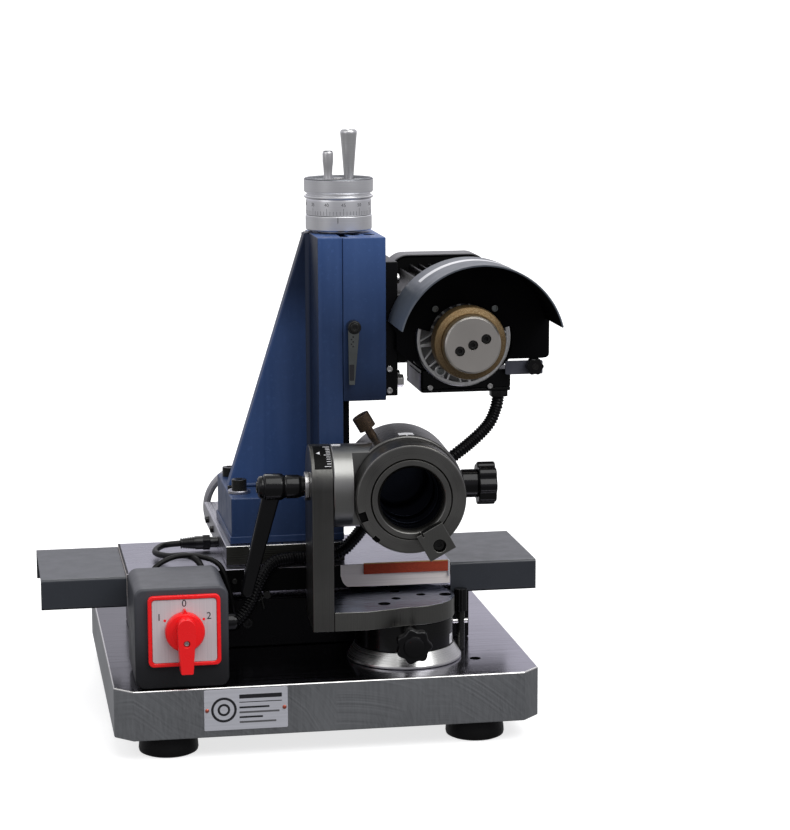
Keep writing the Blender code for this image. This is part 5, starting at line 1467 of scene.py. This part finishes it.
def build_leads():
    on("carriage")
    low, high = span("cable_gland")
    middle = (0, (low.y + high.y) / 2, (low.z + high.z) / 2)
    relief = [(3.8, low.x), (4.9, low.x)]
    for i in range(6):
        relief += [(5.0 + 0.25 * i, low.x + 1.2 + 2.2 * i), (4.3 + 0.25 * i, low.x + 1.5 + 2.2 * i), (4.3 + 0.25 * i, low.x + 2.3 + 2.2 * i), (5.1 + 0.25 * i, low.x + 2.6 + 2.2 * i)]
    relief += [(6.4, low.x + 15.4), (6.4, low.x + 22), (3.8, low.x + 22)]
    piece(turned("gland_relief", "x", middle, relief, 48), "black_plastic", "cable_gland")
    piece(turned("gland_nut", "x", middle, [(4, low.x + 21), (7.4, low.x + 21), (7.4, low.x + 28), (4, low.x + 28)], 6), "black_plastic", edge=0.6)
    piece(turned("gland_thread", "x", middle, [(3.9, -91), (5.2, -91), (5.2, high.x), (3.9, high.x)], 40), "black_plastic")
    control = [(-96, -20, 91.4), (-118, -20, 91.4), (-135, -26, 91), (-143, -48, 90), (-133, -74, 92)]
    control += [(-117, -93, 96), (-107, -105.5, 91), (-104, -108.3, 74), (-104, -108.3, 30), (-104, -108.3, 0.4)]
    hose("control_lead_upper", control, 0, 4, ("carriage", "table"), ["control_cable"], (2.9,), "rubber", 2.5)
    hose("control_lead_lower", control, 4, 8, ("table", "base"), ["control_cable"], (2.9,), "rubber", 2.5)
    hose("control_lead_end", control, 8, 9, ("base", "base"), ["control_cable"], (2.9,), "rubber", 2.5)
    supply = [(-157, -108.3, 0.4), (-157, -108.3, 34), (-156, -108.3, 66), (-152, -107.5, 83), (-143, -103, 92)]
    supply += [(-126, -98, 97), (-106, -99, 96), (-89, -106, 89), (-81, -110, 68), (-76, -106, 42)]
    supply += [(-72, -92, 27), (-70, -80, 24), (-70, -67.5, 24)]
    hose("supply_lead", supply, 0, len(supply) - 1, ("base", "base"), ["supply_cable"], (2.4,), "rubber", 2.5)
    route = [(184, -50, 233.6), (183.6, -50.2, 228), (181.2, -51, 217), (174, -54, 203), (160, -58, 190), (138, -64, 175)]
    route += [(104, -70, 154), (74, -77, 133), (52, -85.5, 119), (38, -93, 105.5), (24, -97.8, 95), (2, -98.2, 91)]
    route += [(-20, -99.6, 91), (-40, -108, 89)]
    route += [(-53, -117, 74), (-64, -124, 54), (-77, -129, 41), (-90.1, -129, 41)]
    ridges = (6.1, 5.2)
    hose("conduit_upper", route, 0, 8, ("z_slide", "carriage"), ["motor_conduit"], ridges, "conduit_black", 0.7)
    hose("conduit_middle", route, 8, 12, ("carriage", "table"), ["motor_conduit"], ridges, "conduit_black", 0.7)
    hose("conduit_lower", route, 12, 16, ("table", "base"), ["motor_conduit"], ridges, "conduit_black", 0.7)
    hose("conduit_end", route, 16, 17, ("base", "base"), ["motor_conduit"], ridges, "conduit_black", 0.7)
    on("base")
    for x, radius, name in ((-104, 2.9, "control"), (-157, 2.4, "supply")):
        ring = [(radius, 0.05), (radius + 3.4, 0.05), (radius + 3.6, 1.2), (radius + 1.8, 2.6), (radius, 2.8)]
        piece(turned("grommet_" + name, "z", (x, -108.3, 0), ring, 48), "black_plastic", edge=0.3, segments=2)
    side = span("switch_box")[1].x
    nut = turned("box_nut", "x", (0, -129, 41), [(6.2, side), (9.4, side), (9.4, side + 5), (6.2, side + 5)], 6)
    piece(nut, "black_plastic", edge=0.5)
    collar = [(6.2, side + 4.8), (8.4, side + 4.8), (8.4, side + 12), (7.6, side + 14), (6.2, side + 14)]
    piece(turned("box_collar", "x", (0, -129, 41), collar, 48), "black_plastic", edge=0.3, segments=2)


# ---------------------------------------------------------------- camera, floor and light


def build_camera():
    data = bpy.data.cameras.new("camera")
    camera = bpy.data.objects.new("camera", data)
    bpy.context.scene.collection.objects.link(camera)
    data.sensor_fit = "HORIZONTAL"
    data.sensor_width = 36
    data.lens = 111.74
    data.clip_end = 100
    yaw, pitch, roll = 0.1736, 0.1693, -0.0032
    level = Vector((math.sin(yaw), math.cos(yaw), 0))
    side = Vector((math.cos(yaw), -math.sin(yaw), 0))
    ahead = level * math.cos(pitch) - Vector((0, 0, 1)) * math.sin(pitch)
    above = Vector((0, 0, 1)) * math.cos(pitch) + level * math.sin(pitch)
    right = side * math.cos(roll) + above * math.sin(roll)
    up = above * math.cos(roll) - side * math.sin(roll)
    place = LAYOUT @ Vector((-308.43, -2290.74, 602.09))
    turn = Matrix((right, up, -ahead)).transposed().to_4x4()
    camera.matrix_world = Matrix.Translation(place) @ turn
    bpy.context.scene.camera = camera


def softbox(name, place, target, size, power, colour=(1, 1, 1)):
    data = bpy.data.lights.new(name, "AREA")
    data.shape = "RECTANGLE"
    data.size, data.size_y = size
    data.energy = power
    data.color = colour
    lamp = bpy.data.objects.new(name, data)
    bpy.context.scene.collection.objects.link(lamp)
    place, target = Vector(place), Vector(target)
    lamp.matrix_world = Matrix.Translation(place) @ (target - place).to_track_quat("-Z", "Y").to_matrix().to_4x4()
    return lamp


def build_studio():
    mesh = bpy.data.meshes.new("floor")
    corners = [(-70, -30, 0), (70, -30, 0), (70, 70, 0), (-70, 70, 0), (70, 70, 30), (-70, 70, 30)]
    mesh.from_pydata(corners, [], [(0, 1, 2, 3), (3, 2, 4, 5)])
    floor = bpy.data.objects.new("floor", mesh)
    bpy.context.scene.collection.objects.link(floor)
    for name, glow in (("floor", 0.72), ("backdrop", 1.0)):
        shade = Shade(name, 0.9, specular=0.0)
        shade.colour(shade.ramp(shade.noise(3, 3), ((0.3, (0.5, 0.5, 0.5)), (0.7, (0.52, 0.52, 0.52)))))
        shade.set("Emission Color", (1, 1, 1, 1))
        shade.set("Emission Strength", glow)
        mesh.materials.append(shade.material)
    mesh.polygons[1].material_index = 1
    floor.visible_glossy = False
    floor.visible_diffuse = False

    world = bpy.data.worlds.new("studio")
    bpy.context.scene.world = world
    world.use_nodes = True
    tree = world.node_tree
    back = tree.nodes["Background"]
    coords = tree.nodes.new("ShaderNodeTexCoord")
    parts = tree.nodes.new("ShaderNodeSeparateXYZ")
    tree.links.new(coords.outputs["Generated"], parts.inputs["Vector"])

    def ramp(source, stops):
        scale = tree.nodes.new("ShaderNodeMapRange")
        scale.inputs["From Min"].default_value = -1
        tree.links.new(source, scale.inputs["Value"])
        node = tree.nodes.new("ShaderNodeValToRGB")
        fill_ramp(node, [((position + 1) / 2, colour) for position, colour in stops])
        tree.links.new(scale.outputs["Result"], node.inputs["Fac"])
        return node.outputs["Color"]

    height = ramp(parts.outputs["Z"], ((-0.3, (0.3, 0.3, 0.31)), (-0.02, (0.4, 0.4, 0.41)), (0.03, (0.62, 0.61, 0.67)),
                                       (0.35, (0.66, 0.65, 0.71)), (0.8, (1.0, 1.0, 1.0))))
    depth = ramp(parts.outputs["Y"], ((-0.9, (0.62, 0.62, 0.62)), (0.1, (0.7, 0.7, 0.7)), (0.7, (1.0, 1.0, 1.0))))
    mixer = tree.nodes.new("ShaderNodeMix")
    mixer.data_type = "RGBA"
    mixer.blend_type = "MULTIPLY"
    mixer.inputs["Factor"].default_value = 1.0
    tree.links.new(height, mixer.inputs["A"])
    tree.links.new(depth, mixer.inputs["B"])
    tree.links.new(mixer.outputs["Result"], back.inputs["Color"])
    back.inputs["Strength"].default_value = 1.0

    sun = bpy.data.lights.new("sun", "SUN")
    sun.energy = 1.5
    sun.angle = math.radians(50)
    lamp = bpy.data.objects.new("sun", sun)
    bpy.context.scene.collection.objects.link(lamp)
    lamp.rotation_euler = (math.radians(28), math.radians(14), 0)
    middle = (0, 0, 0.25)
    softbox("key", (1.5, -1.8, 1.9), middle, (1.4, 1.0), 15)
    softbox("fill", (-2.0, -1.4, 1.5), middle, (1.6, 1.6), 8)
    softbox("rim", (0.5, 2.2, 2.4), middle, (2.4, 1.0), 26)
    bpy.context.scene.view_settings.view_transform = "Standard"


build_camera()
build_base()
build_name_plate()
build_switch()
build_bed()
build_table()
build_cover("left")
build_cover("right")
build_cross_slide()
build_rear_handwheel()
build_column()
build_slide()
build_hand_feed()
build_motor()
build_bell()
build_guard()
build_wheel()
build_head_base()
build_upright()
build_barrel()
build_index()
build_leads()
build_studio()
